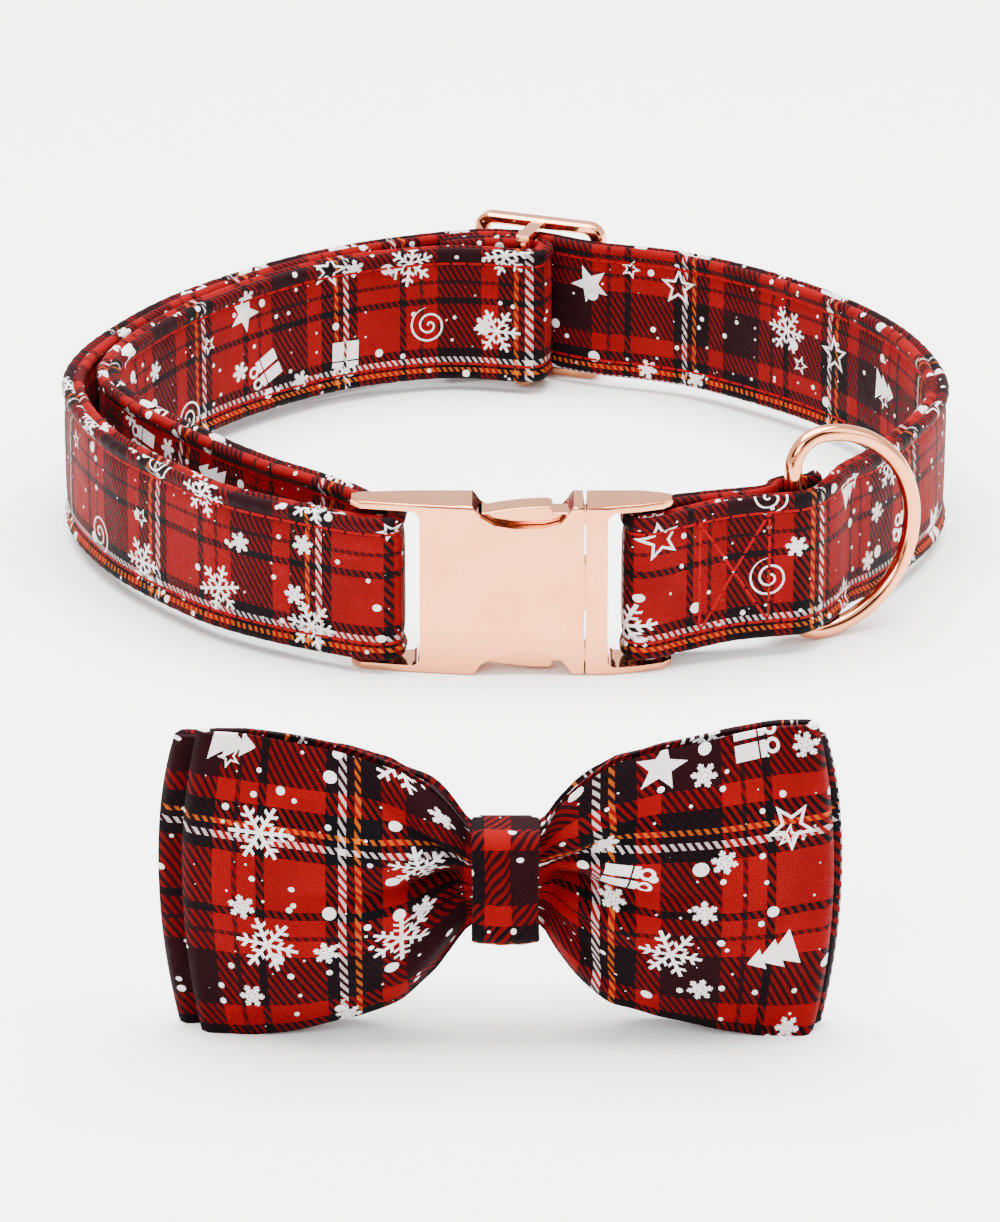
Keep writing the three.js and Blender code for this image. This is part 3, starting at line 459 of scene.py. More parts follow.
def sewing(tree, run, cross_lines, boxes):
    place = add_node(tree, "ShaderNodeSeparateXYZ", run)
    along, across = place.outputs[0], place.outputs[1]
    beside = add_node(tree, "ShaderNodeMath", across, operation="ABSOLUTE")
    edge = add_node(tree, "ShaderNodeMath", beside, EDGE_STITCH, STITCH_HALF_WIDTH, operation="COMPARE")
    threads = [stitched(tree, edge, along)]
    inside = add_node(tree, "ShaderNodeMath", beside, EDGE_STITCH, operation="LESS_THAN")
    for at in cross_lines:
        line = add_node(tree, "ShaderNodeMath", along, at, STITCH_HALF_WIDTH, operation="COMPARE")
        threads.append(stitched(tree, all_of(tree, line, inside), across))
    for start, end in boxes:
        middle, half = (start + end) / 2, (end - start) / 2
        lean = EDGE_STITCH / half
        from_middle = add_node(tree, "ShaderNodeMath", along, middle, operation="SUBTRACT")
        distance = add_node(tree, "ShaderNodeMath", from_middle, operation="ABSOLUTE")
        within = add_node(tree, "ShaderNodeMath", distance, half, operation="LESS_THAN")
        rise = add_node(tree, "ShaderNodeMath", distance, lean, operation="MULTIPLY")
        width = STITCH_HALF_WIDTH * math.hypot(1, lean)
        diagonal = add_node(tree, "ShaderNodeMath", rise, beside, width, operation="COMPARE")
        threads.append(stitched(tree, all_of(tree, diagonal, within), across))
    return any_of(tree, *threads)


def strap_material(cross_lines, boxes):
    made, tree, shader = new_material("printed_polyester_strap", roughness=0.62)
    colour, height = cloth_surface(tree, "cloth", thread=STRAP_THREAD, relief=0.8)
    run = add_node(tree, "ShaderNodeUVMap", uv_map="run").outputs[0]
    threads = sewing(tree, run, cross_lines, boxes)
    sewn = add_node(tree, "ShaderNodeMix", data_type="RGBA")
    tree.links.new(threads.outputs[0], sewn.inputs["Factor"])
    tree.links.new(colour, sewn.inputs["A"])
    sewn.inputs["B"].default_value = linear("7E0104")
    raised = add_node(tree, "ShaderNodeMath", threads, 2.5, height, operation="MULTIPLY_ADD")
    finish_cloth(tree, shader, sewn.outputs["Result"], raised, 0.09 * MM)
    return made


# %% [markdown]
# ## The strap
#
# The strap is one long flat tube of cloth over webbing, with a rolled edge at
# the top and the bottom. Instead of bending a finished band, it is made as
# it was cut: a grid whose long side is the strap's length and whose short
# side is the way round its section. Each point then moves to its place along
# the strap's route. The UV maps are written while the grid is still flat, so
# the pattern follows every fold without stretching. The route is the middle
# line of the CAD strap, with its thickness and the lift over the ring.

# %% The strap's route: x, y, thickness and lift, in millimetres
STRAP_ROUTE = [
    (51.86, 18.01, 3.2, 1), (51.35, 16.37, 2.78, 1), (51.00, 16.03, 2.43, 1),
    (50.18, 15.68, 2.2, 1), (45.97, 14.62, 2.2, 1), (45.06, 13.88, 2.2, 1),
    (44.55, 13.19, 2.2, 1), (44.39, 12.63, 2.2, 1), (44.18, 11.55, 2.2, 1),
    (43.88, 11.11, 2.2, 1), (42.91, 10.36, 2.2, 1), (41.05, 9.45, 3.2, 1),
    (34.13, 8.09, 3.24, 0.84), (26.10, 7.60, 3.2, 0.15), (22.08, 7.30, 3.2, 0),
    (21.57, 7.03, 3.2, 0), (21.17, 6.62, 3.2, 0), (20.91, 6.12, 3.2, 0),
    (20.78, 5.34, 3.2, 0), (20.83, 0.60, 3.2, 0), (20.99, 0.13, 3.2, 0),
    (21.31, -0.34, 3.2, 0), (21.75, -0.70, 3.2, 0), (22.31, -0.93, 3.2, 0),
    (22.63, -0.99, 3.2, 0), (22.84, -0.96, 3.2, 0), (30.13, 2.38, 3.2, 0.33),
    (37.79, 5.10, 3.2, 0.96), (45.79, 6.84, 2.2, 1), (49.23, 7.72, 2.2, 1),
    (50.40, 8.41, 2.2, 1), (51.60, 9.64, 2.2, 1), (53.92, 13.52, 3.04, 1),
    (57.05, 20.91, 3.2, 0.89), (61.17, 27.86, 4, 0.21), (65.01, 34.90, 4, 0),
    (68.65, 42.07, 4, 0), (71.83, 49.47, 4, 0), (74.08, 57.32, 4, 0),
    (74.80, 65.39, 4, 0), (74.04, 73.41, 4, 0), (72.29, 81.48, 4, 0),
    (69.65, 89.24, 4, 0), (66.24, 96.66, 4, 0), (62.19, 103.56, 4, 0),
    (57.41, 110.11, 4, 0), (51.88, 116.22, 4, 0), (45.99, 121.70, 4, 0),
    (39.77, 126.74, 4, 0), (32.77, 131.11, 3.49, 0), (25.10, 134.20, 3.2, 0),
    (17.32, 136.57, 3.2, 0), (13.48, 138.47, 3.2, 0), (6.55, 142.49, 3.2, 0),
    (2.41, 143.62, 3.2, 0), (-4.02, 144.15, 3.2, 0), (-11.68, 142.37, 3.2, 0),
    (-19.48, 139.60, 3.2, 0), (-26.91, 136.23, 4, 0), (-33.88, 131.85, 4, 0),
    (-40.25, 126.82, 4, 0), (-46.39, 121.34, 4, 0), (-51.97, 115.58, 4, 0),
    (-57.07, 109.40, 4, 0), (-61.58, 102.75, 4, 0), (-65.60, 95.83, 4, 0),
    (-69.27, 88.58, 4, 0), (-72.34, 80.89, 4, 0), (-74.23, 72.89, 4, 0),
    (-74.80, 64.76, 4, 0), (-73.67, 56.56, 4, 0), (-71.39, 48.66, 4, 0),
    (-68.36, 41.25, 4, 0), (-64.46, 33.94, 4, 0), (-59.75, 27.39, 4, 0),
    (-54.67, 21.18, 4, 0), (-49.26, 15.06, 4, 0), (-42.89, 9.97, 4, 0),
    (-36.05, 5.80, 3.99, 0), (-29.00, 1.92, 3.2, 0), (-23.21, -0.57, 3.2, 0),
    (-19.83, -1.13, 3.2, 0), (-19.29, -1.01, 3.2, 0), (-18.78, -0.74, 3.2, 0),
    (-18.38, -0.33, 3.2, 0), (-18.12, 0.17, 3.2, 0), (-17.98, 0.96, 3.2, 0),
    (-18.08, 5.32, 3.2, 0), (-18.32, 5.83, 3.2, 0), (-18.70, 6.26, 3.2, 0),
    (-19.19, 6.56, 3.2, 0), (-19.74, 6.67, 3.2, 0), (-19.93, 6.71, 3.2, 0),
    (-21.52, 8.26, 3.2, 0), (-26.70, 14.37, 3.89, 0), (-32.74, 19.86, 4, 0),
    (-38.86, 25.03, 4, 0), (-44.39, 30.86, 4, 0), (-49.67, 37.10, 4, 0),
    (-54.97, 43.43, 4, 0), (-59.95, 49.71, 4, 0), (-64.39, 56.39, 4, 0),
    (-67.80, 63.65, 4, 0), (-69.10, 69.46, 4, 0), (-68.91, 74.90, 4, 0),
    (-66.92, 82.65, 4, 0), (-63.64, 90.01, 4, 0), (-59.86, 97.09, 4, 0),
    (-55.54, 103.85, 4, 0), (-50.71, 110.25, 4, 0), (-45.31, 116.19, 4, 0),
    (-39.43, 121.65, 4, 0), (-33.11, 126.65, 4, 0), (-25.84, 130.59, 4, 0),
    (-18.28, 133.24, 3.2, 0), (-10.41, 134.81, 3.2, 0), (-5.39, 134.62, 3.2, 0),
    (2.64, 132.92, 3.2, 0), (4.61, 132.63, 3.2, 0), (5.14, 132.73, 3.2, 0),
    (5.65, 132.99, 3.2, 0), (6.06, 133.39, 3.2, 0), (6.33, 133.85, 3.2, 0),
    (7.37, 136.88, 3.2, 0), (7.34, 137.43, 3.2, 0), (7.15, 137.98, 3.2, 0),
    (6.83, 138.44, 3.2, 0), (6.59, 138.64, 3.2, 0), (5.37, 139.10, 3.2, 0),
    (-2.32, 140.55, 3.2, 0), (-5.19, 140.34, 3.2, 0), (-11.57, 138.68, 3.2, 0),
]
STRAP_MIDDLE = 15.0
STRAP_HALF_WIDTH = 12.7
STRAP_STEP = 0.95


def smooth_route(stations, step):
    table = np.array(stations, float)
    gaps = np.linalg.norm(np.diff(table[:, :2], axis=0), axis=1)
    chord = np.concatenate([[0], np.cumsum(gaps)])
    slopes = np.gradient(table, chord, axis=0)
    fine = np.linspace(0, chord[-1], 12000)
    i = np.clip(np.searchsorted(chord, fine, side="right") - 1, 0, len(gaps) - 1)
    gap = gaps[i][:, None]
    t = ((fine - chord[i]) / gaps[i])[:, None]
    start, end = table[i], table[i + 1]
    curve = (
        (2 * t**3 - 3 * t**2 + 1) * start
        + (t**3 - 2 * t**2 + t) * gap * slopes[i]
        + (3 * t**2 - 2 * t**3) * end
        + (t**3 - t**2) * gap * slopes[i + 1]
    )
    length = np.concatenate([[0], np.cumsum(np.linalg.norm(np.diff(curve[:, :2], axis=0), axis=1))])
    runs = np.linspace(0, length[-1], int(length[-1] / step) + 1)
    return runs, np.stack([np.interp(runs, length, curve[:, k]) for k in range(4)], axis=1)


runs, route = smooth_route(STRAP_ROUTE, STRAP_STEP)
heading = np.gradient(route[:, :2], runs, axis=0)
heading /= np.linalg.norm(heading, axis=1)[:, None]
facing = np.stack([heading[:, 1], -heading[:, 0]], axis=1)
print("strap length", round(runs[-1], 1), "mm in", len(runs), "steps")

# %% [markdown]
# The section is drawn once, for one quarter: flat in the middle, dipped where
# the stitch line pulls it in, then a round roll, and a groove between the two
# rolls where the cloth was folded over the edge of the webbing.

# %% The strap's section, for a strap 4 mm thick at its rolls
QUARTER_SECTION = [
    (0.0, 1.58),
    (2.2, 1.6),
    (4.4, 1.6),
    (6.4, 1.58),
    (8.0, 1.52),
    (9.0, 1.38),
    (9.6, 1.2),
    (10.1, 1.24),
    (10.5, 1.55),
    (11.0, 1.86),
    (11.5, 1.96),
    (12.0, 1.84),
    (12.4, 1.5),
    (12.62, 1.05),
    (12.55, 0.6),
    (12.25, 0.2),
    (12.05, 0.0),
]
ROLLED_THICKNESS = 4.0
upper = np.array(QUARTER_SECTION)
lower = upper[1:][::-1] * [-1, 1]
face_profile = np.concatenate([lower, upper])
face_steps = np.linalg.norm(np.diff(face_profile, axis=0), axis=1)
face_along = np.concatenate([[0], np.cumsum(face_steps)])
face_along -= face_along[-1] / 2
section = np.concatenate([face_profile, face_profile[-2::-1] * [1, -1]])
section_cloth = np.concatenate([face_along, face_along[-2::-1]])
print("points round the section", len(section) - 1)


# %% A grid that is wrapped
def select_only(made):
    bpy.ops.object.select_all(action="DESELECT")
    made.select_set(True)
    bpy.context.view_layer.objects.active = made


def flat_grid(name, columns, rows):
    bpy.ops.object.select_all(action="DESELECT")
    bpy.ops.mesh.primitive_grid_add(x_subdivisions=columns, y_subdivisions=rows, size=1, location=(0, 0, 0))
    made = bpy.context.object
    made.name = name
    while made.data.uv_layers:
        made.data.uv_layers.remove(made.data.uv_layers[0])
    flat = np.zeros(len(made.data.vertices) * 3)
    made.data.vertices.foreach_get("co", flat)
    flat = flat.reshape(-1, 3)
    column = np.rint((flat[:, 0] + 0.5) * columns).astype(int)
    row = np.rint((flat[:, 1] + 0.5) * rows).astype(int)
    return made, column, row


def corner_uvs(made, name, u, v):
    layer = made.data.uv_layers.new(name=name)
    layer.data.foreach_set("uv", np.stack([u, v], axis=1).ravel())


def corner_vertices(made):
    index = np.zeros(len(made.data.loops), int)
    made.data.loops.foreach_get("vertex_index", index)
    return index


def wrap(made, places):
    made.data.vertices.foreach_set("co", (np.asarray(places) * MM).ravel())
    made.data.update()


def close_seams(made, reach=0.004, fill=False):
    select_only(made)
    bpy.ops.object.mode_set(mode="EDIT")
    bpy.ops.mesh.select_all(action="SELECT")
    bpy.ops.mesh.remove_doubles(threshold=reach * MM)
    if fill:
        bpy.ops.mesh.select_all(action="DESELECT")
        bpy.ops.mesh.select_non_manifold()
        bpy.ops.mesh.fill_holes(sides=0)
    bpy.ops.mesh.select_all(action="SELECT")
    bpy.ops.mesh.normals_make_consistent(inside=False)
    bpy.ops.object.mode_set(mode="OBJECT")


# %% The nearest run along the strap to a place
def run_near(x, y):
    return float(runs[np.argmin(np.hypot(route[:, 0] - x, route[:, 1] - y))])


# %% Wrap the strap
PUCKER_PITCH = 3.3
PUCKER = 0.07
RIM_FROM = 9.9
RIM_RUN = 1.5
END_ROUND = 1.6
END_THICKNESS = 0.35  # share that is left at the cut ends
LONG_SLACK = 0.16
SHORT_SLACK = 0.07
OUTER_SHIFT = -1.0  # how the print falls on the outer and the inner face
INNER_SHIFT = 2.7
SHORT_SHIFT = -2.8  # and along the strap, on either side of the adjuster
LONG_SHIFT = 9.5
strap, column, row = flat_grid("tartan_strap", len(runs) - 1, len(section) - 1)
along, height, offset = runs[column], section[row, 0], section[row, 1]
thickness, lift = route[column, 2], route[column, 3]
end_gap = np.minimum(along, runs[-1] - along)
end_share = np.clip(end_gap / END_ROUND, 0, 1)
rounding = np.sqrt(end_share * (2 - end_share))
rim = np.clip((np.abs(height) - RIM_FROM) / RIM_RUN, 0, 1)
pucker = PUCKER * rim * np.sin(math.tau * along / PUCKER_PITCH + 1.7 * np.sin(along / 9) + np.sign(offset))
slack = LONG_SLACK * np.sin(along / 17 + 0.9 * np.sin(along / 41))
slack = slack + SHORT_SLACK * np.sin(along / 5.3 + height / 6)
filled = END_THICKNESS + (1 - END_THICKNESS) * rounding
swell = (thickness / ROLLED_THICKNESS) * (offset + np.sign(offset) * pucker) * filled
slack *= np.clip((thickness - 3.2) / 0.8, 0, 1)
places = np.stack(
    [
        route[column, 0] + facing[column, 0] * (swell + slack),
        route[column, 1] + facing[column, 1] * (swell + slack),
        STRAP_MIDDLE + lift + height,
    ],
    axis=1,
)
corners = corner_vertices(strap)
polygon_rows = row[corners].reshape(-1, 4).mean(axis=1).repeat(4)
outer_face = polygon_rows < len(face_profile) - 1
cloth_height = section_cloth[row[corners]] + STRAP_HALF_WIDTH
slider_run = run_near(2.4, 143.6)
corner_uvs(
    strap,
    "cloth",
    along[corners] + np.where(along[corners] < slider_run, SHORT_SHIFT, LONG_SHIFT),
    np.where(outer_face, cloth_height + OUTER_SHIFT, INNER_SHIFT - cloth_height),
)
corner_uvs(strap, "run", along[corners], section_cloth[row[corners]])
wrap(strap, places)
close_seams(strap, fill=True)
bpy.ops.object.shade_smooth()
print("strap faces", len(strap.data.polygons), "height", round(strap.dimensions.z / MM, 2))


# %% Where the stitch lines fall
BOX_START = run_near(32.0, 3.1)
BOX_END = run_near(43.5, 6.5)
NEXT_LINE = run_near(52.5, 11.1)
INNER_BOX = (run_near(43.0, 10.4), run_near(32.0, 7.9))
sewn_strap = strap_material(
    cross_lines=[BOX_START, BOX_END, NEXT_LINE, *INNER_BOX],
    boxes=[(BOX_START, BOX_END), INNER_BOX],
)
strap.data.materials.clear()
strap.data.materials.append(sewn_strap)
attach(strap, "collar")
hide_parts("strap")
print("stitch box", round(BOX_START, 1), round(BOX_END, 1))

# %% [markdown]
# ## The bow's two layers
#
# Each layer is a strip of cloth sewn into a flat loop and pinched in the
# middle, so it has a front and a back that swell apart in each lobe. It is
# again made as cut: a grid as long as the strip and as tall as the cloth. The
# lobe table gives the half height, the swell and the middle pleat along a
# half. The cloth gathers into the knot, so folds fan out from there, strong
# beside the knot and gone halfway along. A Solidify modifier gives the wall.

# %% Lobe shape along a half, from the knot to the end
BOW_AT = -138.0
BOW_HALF_HEIGHT = 24.9
FRONT_HALF_LENGTH = 47.6
BACK_HALF_LENGTH = 50.5
BOW_CLOTH = 1.2
BOW_PITCH = 1.7
BOW_STRETCH = 1.065
LOBE = np.array(
    [
        (0.0, 0.265, 0.0, 0.0),
        (0.1, 0.27, 0.0, 0.0),
        (0.13, 0.33, 0.06, 0.35),
        (0.16, 0.43, 0.25, 0.8),
        (0.22, 0.58, 0.55, 1.0),
        (0.33, 0.77, 0.88, 0.5),
        (0.47, 0.87, 1.0, 0.16),
        (0.66, 0.94, 0.86, 0.05),
        (0.84, 0.985, 0.5, 0.0),
        (0.95, 1.0, 0.2, 0.0),
        (1.0, 1.0, 0.08, 0.0),
    ]
)
PLEAT_DEPTH = 7.0
LOBE_DEPTH = 7.0
INNER_SWELL = 0.12  # share of it on the two faces that touch
EDGE_FALL = 0.9
END_BOWING = 0.055
FOLD_ROUND = 1.5
VALLEY_WIDTH = 2.6  # of the middle pleat, at the knot
VALLEY_SPREAD = 0.06
FOLD_HEIGHT = 0.85
DRIFT = 0.9
RIPPLE = 0.25
CREASE = 0.55
EDGE_WAVE = 0.35
CROWDING = 0.28  # how much the grid crowds towards the ends of the loop
LAYER_STEP = 0.85
LAYER_ROWS = 62
FLOOR_GAP = 0.1
SETT_START = (15.5 + 3 * SETT_REPEAT, 35.9)  # where the cut starts in the print
SETT_RISE = 0.7


def ramp(values, start, run):
    return np.clip((values - start) / run, 0, 1)


def lobe_value(share, k):
    fine = np.linspace(0, 1, 401)
    values = np.interp(fine, LOBE[:, 0], LOBE[:, k])
    window = np.hanning(25)
    values = np.convolve(np.pad(values, 12, mode="edge"), window / window.sum(), mode="valid")
    return np.interp(share, fine, values)


# %% One layer, wrapped into its loop
def bow_layer(name, half_length, faces_at, swells, seed, tops, reaches):
    faces = 2 * int(2 * half_length / LAYER_STEP)
    made, column, row = flat_grid(name, faces, LAYER_ROWS)
    up = 2 * row / LAYER_ROWS - 1
    turn = column / faces
    half_turn = np.where(turn <= 0.5, turn, 1 - turn) * 2
    sideways = -np.cos(math.pi * half_turn)
    sideways = (1 - CROWDING) * (2 * half_turn - 1) + CROWDING * sideways
    x = half_length * sideways
    share = np.abs(sideways)
    on_front = turn <= 0.5
    way = np.sign(x)
    lobe_half, swell, pleat = (lobe_value(share, k) for k in (1, 2, 3))
    swell_by = np.where(on_front, *swells)
    flat_at = np.where(on_front, *faces_at)
    middle = sum(faces_at) / 2
    round_off = np.sqrt(1 - ramp(np.abs(x), half_length - FOLD_ROUND, FOLD_ROUND) ** 2)
    top = np.where(x < 0, *tops)
    settled = 1 - (1 - top) * np.clip(up, 0, 1) * ramp(share, 0.1, 0.2)
    height = up * lobe_half * BOW_HALF_HEIGHT * settled
    valley_width = VALLEY_WIDTH + VALLEY_SPREAD * np.abs(x)
    valley = np.exp(-np.abs(height / valley_width) ** 1.35)
    depth = swell_by * swell * (1 - EDGE_FALL * up**2)
    y = flat_at + depth
    y = middle + (y - middle) * round_off
    y = y + PLEAT_DEPTH * pleat * valley
    fan = np.arctan2(height, np.abs(x) - 2.0)
    near = ramp(np.abs(x), 5.5, 4) * np.exp(-(((np.abs(x) - 10) / 11) ** 2))
    folds = np.sin(fan * 11 + seed + way * 0.8) + 0.6 * np.sin(fan * 19 + 2.3 * seed + way)
    folds = folds * (1 - valley)
    drift = np.array(
        [noise.noise(Vector((a / 15, b / 13, seed))) for a, b in zip(x, height + 60 * on_front)]
    )
    ripple = np.array([noise.noise(Vector((a / 5.5, b / 8, seed + 9))) for a, b in zip(x, height)])
    loose = ramp(share, 0.14, 0.2) * round_off
    crease = np.exp(-((height / 1.3) ** 2)) * ramp(share, 0.2, 0.1) * np.clip((0.78 - share) / 0.4, 0, 1)
    y = y + FOLD_HEIGHT * near * folds + loose * (DRIFT * drift + RIPPLE * ripple) + CREASE * crease
    wave = EDGE_WAVE * np.sin(x / 6.2 + seed) * np.abs(up) ** 6 * np.sign(up) * loose
    outward = ramp(share, 0.5, 0.5)
    bowed = 1 - END_BOWING * up**2 * outward**2 * (3 - 2 * outward)
    reach = np.where(x < 0, *reaches)
    level = np.maximum(BOW_HALF_HEIGHT + height + wave, FLOOR_GAP)
    places = np.stack([x * reach * bowed, BOW_AT + y, level], axis=1)
    corners = corner_vertices(made)
    polygon_turn = turn[corners].reshape(-1, 4).mean(axis=1).repeat(4)
    loop_x = np.where(polygon_turn <= 0.5, x[corners], 2 * half_length - x[corners])
    corner_uvs(
        made,
        "cloth",
        SETT_START[0] - loop_x / BOW_STRETCH,
        SETT_RISE - (up[corners] * BOW_HALF_HEIGHT + BOW_HALF_HEIGHT - SETT_START[1]) / BOW_STRETCH,
    )
    wrap(made, places)
    close_seams(made)
    return made


def solidify(made, wall):
    select_only(made)
    shell = made.modifiers.new("wall", "SOLIDIFY")
    shell.thickness = wall * MM
    shell.offset = 0
    bpy.ops.object.modifier_apply(modifier="wall")
    soft = made.modifiers.new("edge", "BEVEL")
    soft.width = 0.3 * wall * MM
    soft.segments = 2
    soft.limit_method = "ANGLE"
    soft.angle_limit = math.radians(60)
    bpy.ops.object.modifier_apply(modifier="edge")
    bpy.ops.object.shade_smooth()


bow_front = bow_layer(
    "bow_front_loop",
    FRONT_HALF_LENGTH,
    faces_at=(-1.5 * BOW_PITCH, -0.5 * BOW_PITCH),
    swells=(-LOBE_DEPTH, -INNER_SWELL * LOBE_DEPTH),
    seed=1.3,
    tops=(0.93, 0.97),
    reaches=(0.985, 1.0),
)
bow_back = bow_layer(
    "bow_back_loop",
    BACK_HALF_LENGTH,
    faces_at=(0.5 * BOW_PITCH, 1.5 * BOW_PITCH),
    swells=(INNER_SWELL * LOBE_DEPTH, LOBE_DEPTH),
    seed=4.1,
    tops=(0.85, 0.85),
    reaches=(1.0, 0.97),
)
for layer, node, half_length in (
    (bow_front, "bow_front", FRONT_HALF_LENGTH),
    (bow_back, "bow_back", BACK_HALF_LENGTH),
):
    solidify(layer, BOW_CLOTH)
    layer.data.materials.clear()
    layer.data.materials.append(bow_cloth)
    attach(layer, "collar")
    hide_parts(node)
    print(layer.name, len(layer.data.polygons), [round(v / MM, 1) for v in layer.dimensions])

# %% [markdown]
# ## The knot and the elastic
#
# The knot is a short band of the same cloth, wrapped once round the pinched
# middle. Its front is slightly bulged, because there is a lot of cloth under
# it. Behind it a flat black elastic makes the loop that slides on the collar.
# Both are bands wrapped round a rounded rectangle, so one helper does both:
# it walks round the rectangle and moves a flat grid there.


# %% A band round a rounded rectangle
def rounded_walk(low_y, high_y, half_height, radius, count):
    corners = [
        (low_y + radius, half_height - radius, 90),
        (low_y + radius, radius - half_height, 180),
        (high_y - radius, radius - half_height, 270),
        (high_y - radius, half_height - radius, 0),
    ]
    outline = []
    for y, z, start in corners:
        for turn in np.linspace(0, 90, 9):
            angle = math.radians(start + turn)
            outline.append((y + radius * math.cos(angle), z + radius * math.sin(angle)))
    outline = np.array(outline + outline[:1])
    length = np.concatenate([[0], np.cumsum(np.linalg.norm(np.diff(outline, axis=0), axis=1))])
    even = np.linspace(0, length[-1], count + 1)
    return even, np.interp(even, length, outline[:, 0]), np.interp(even, length, outline[:, 1])


def band(name, node, width, wall, radius, around=150, across=22, lower=0.0):
    low, high = (np.array(corner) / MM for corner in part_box(node))
    half_height = (high[2] - low[2]) / 2 - wall / 2 - lower
    walk, y, z = rounded_walk(low[1] + wall / 2, high[1] - wall / 2, half_height, radius, around)
    made, column, row = flat_grid(name, around, across)
    aside = (row / across - 0.5) * width
    corners = corner_vertices(made)
    corner_uvs(made, "cloth", aside[corners], walk[column[corners]])
    return made, aside, y[column], z[column], (low[2] + high[2]) / 2


KNOT_WIDTH = 9.9
KNOT_WALL = 1.5
KNOT_CORNER = 2.2
KNOT_FULLNESS = 0.9
KNOT_CREASE = 0.16
knot, aside, y, z, knot_middle = band("bow_knot_band", "bow_knot", KNOT_WIDTH, KNOT_WALL, KNOT_CORNER)
crown = 1 - (2 * aside / KNOT_WIDTH) ** 2
front_side = np.clip((BOW_AT - y) / 3, -1, 1)
level = z / (z.max())
fullness = KNOT_FULLNESS * crown * front_side * (1 - 0.35 * level**2)
crease = KNOT_CREASE * np.sin(aside * 2.1 + 0.8 * np.sin(z / 3.1)) * crown
narrowing = 1 - 0.05 * (1 - level**2)
knot_level = knot_middle + z * (1 - 0.03 * (1 - crown))
knot_places = np.stack([aside * narrowing, y - fullness + crease * front_side, knot_level], axis=1)
wrap(knot, knot_places)
close_seams(knot)
solidify(knot, KNOT_WALL)

ELASTIC_WIDTH = 8.0
ELASTIC_WALL = 1.1
ELASTIC_CORNER = 2.6
ELASTIC_TUCK = 2.6  # off its half height, so that the knot hides it
elastic, aside, y, z, elastic_middle = band(
    "bow_elastic_band",
    "bow_elastic",
    ELASTIC_WIDTH,
    ELASTIC_WALL,
    ELASTIC_CORNER,
    around=120,
    across=12,
    lower=ELASTIC_TUCK,
)
wrap(elastic, np.stack([aside, y, elastic_middle + z], axis=1))
close_seams(elastic)
solidify(elastic, ELASTIC_WALL)
for piece in (knot, elastic):
    print(piece.name, [round(v / MM, 1) for v in piece.dimensions])

# %% [markdown]
# The knot shows the tartan turned by its own fold, so it has its own material
# with the sett centred on the red. The elastic is knitted polyester over
# rubber threads: matt black, with ribs a millimetre apart along its length,
# and painted shade that makes the grooves between the ribs darker than their tops.

# %% Knot and elastic materials
KNIT_RIB = 1.0
KNIT_LOOP = 0.6
knot_cloth, tree, shader = new_material("printed_cotton_knot", roughness=0.82)
plain_uv = add_node(tree, "ShaderNodeUVMap", uv_map="cloth")
shifted = add_node(
    tree, "ShaderNodeVectorMath", plain_uv, (-0.85, 1.0, 1.0), (30.1, 18.4, 0.0), operation="MULTIPLY_ADD"
)
place = add_node(tree, "ShaderNodeSeparateXYZ", shifted)
woven = tartan(tree, place.outputs[0], place.outputs[1], way=-1)
spots = snow_dots(tree, shifted.outputs[0], 5.0, 0.1, 0.7)
printed = add_node(tree, "ShaderNodeMix", data_type="RGBA")
tree.links.new(spots.outputs[0], printed.inputs["Factor"])
tree.links.new(woven, printed.inputs["A"])
printed.inputs["B"].default_value = linear(PRINT_WHITE)
grain = weave_grain(tree, place, BOW_THREAD)
finish_cloth(tree, shader, printed.outputs["Result"], grain, 0.06 * MM)

elastic_knit, tree, shader = new_material("knitted_black_elastic", roughness=0.9)
knit_uv = add_node(tree, "ShaderNodeUVMap", uv_map="cloth")
knit = add_node(tree, "ShaderNodeSeparateXYZ", knit_uv)
ribs = add_node(tree, "ShaderNodeMath", knit.outputs[0], math.tau / KNIT_RIB, operation="MULTIPLY")
rib_wave = add_node(tree, "ShaderNodeMath", ribs, operation="SINE")
loops = add_node(tree, "ShaderNodeMath", knit.outputs[1], math.tau / KNIT_LOOP, operation="MULTIPLY")
loop_wave = add_node(tree, "ShaderNodeMath", loops, operation="SINE")
knit_height = add_node(tree, "ShaderNodeMath", loop_wave, 0.3, rib_wave, operation="MULTIPLY_ADD")
# painted shade: the black is darker in the grooves and lighter on the rib tops, following the bump height
painted_groove_shade = add_node(tree, "ShaderNodeMapRange", knit_height, -1.3, 1.3, 0.0, 1.0)
knit_black_and_groove_shade = add_node(tree, "ShaderNodeMix", data_type="RGBA")
tree.links.new(painted_groove_shade.outputs[0], knit_black_and_groove_shade.inputs["Factor"])
knit_black_and_groove_shade.inputs["A"].default_value = linear("0E0C0D")
knit_black_and_groove_shade.inputs["B"].default_value = linear("262223")
finish_cloth(tree, shader, knit_black_and_groove_shade.outputs["Result"], knit_height, 0.15 * MM)

for piece, node, cloth, slot in (
    (knot, "bow_knot", knot_cloth, "bow_fabric"),
    (elastic, "bow_elastic", elastic_knit, "elastic"),
):
    piece.data.materials.clear()
    piece.data.materials.append(cloth)
    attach(piece, "collar")
    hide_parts(node)

# %% [markdown]
# ## Plated hardware
#
# The buckle, the ring and the adjuster are die-cast zinc, polished and plated
# rose gold. The plating is a true metal, so its colour tints what it
# reflects: a pale peach where it mirrors white, and a warm brown where it
# mirrors the dark cloth. Handling leaves the mirror very slightly uneven,
# which low noise in the roughness gives. The CAD shapes are right, but their
# edges are dead sharp and real castings never are. So each piece is a copy of
# its node: its loose triangles are merged, flat areas are joined to one face,
# and a Bevel modifier rounds every edge.

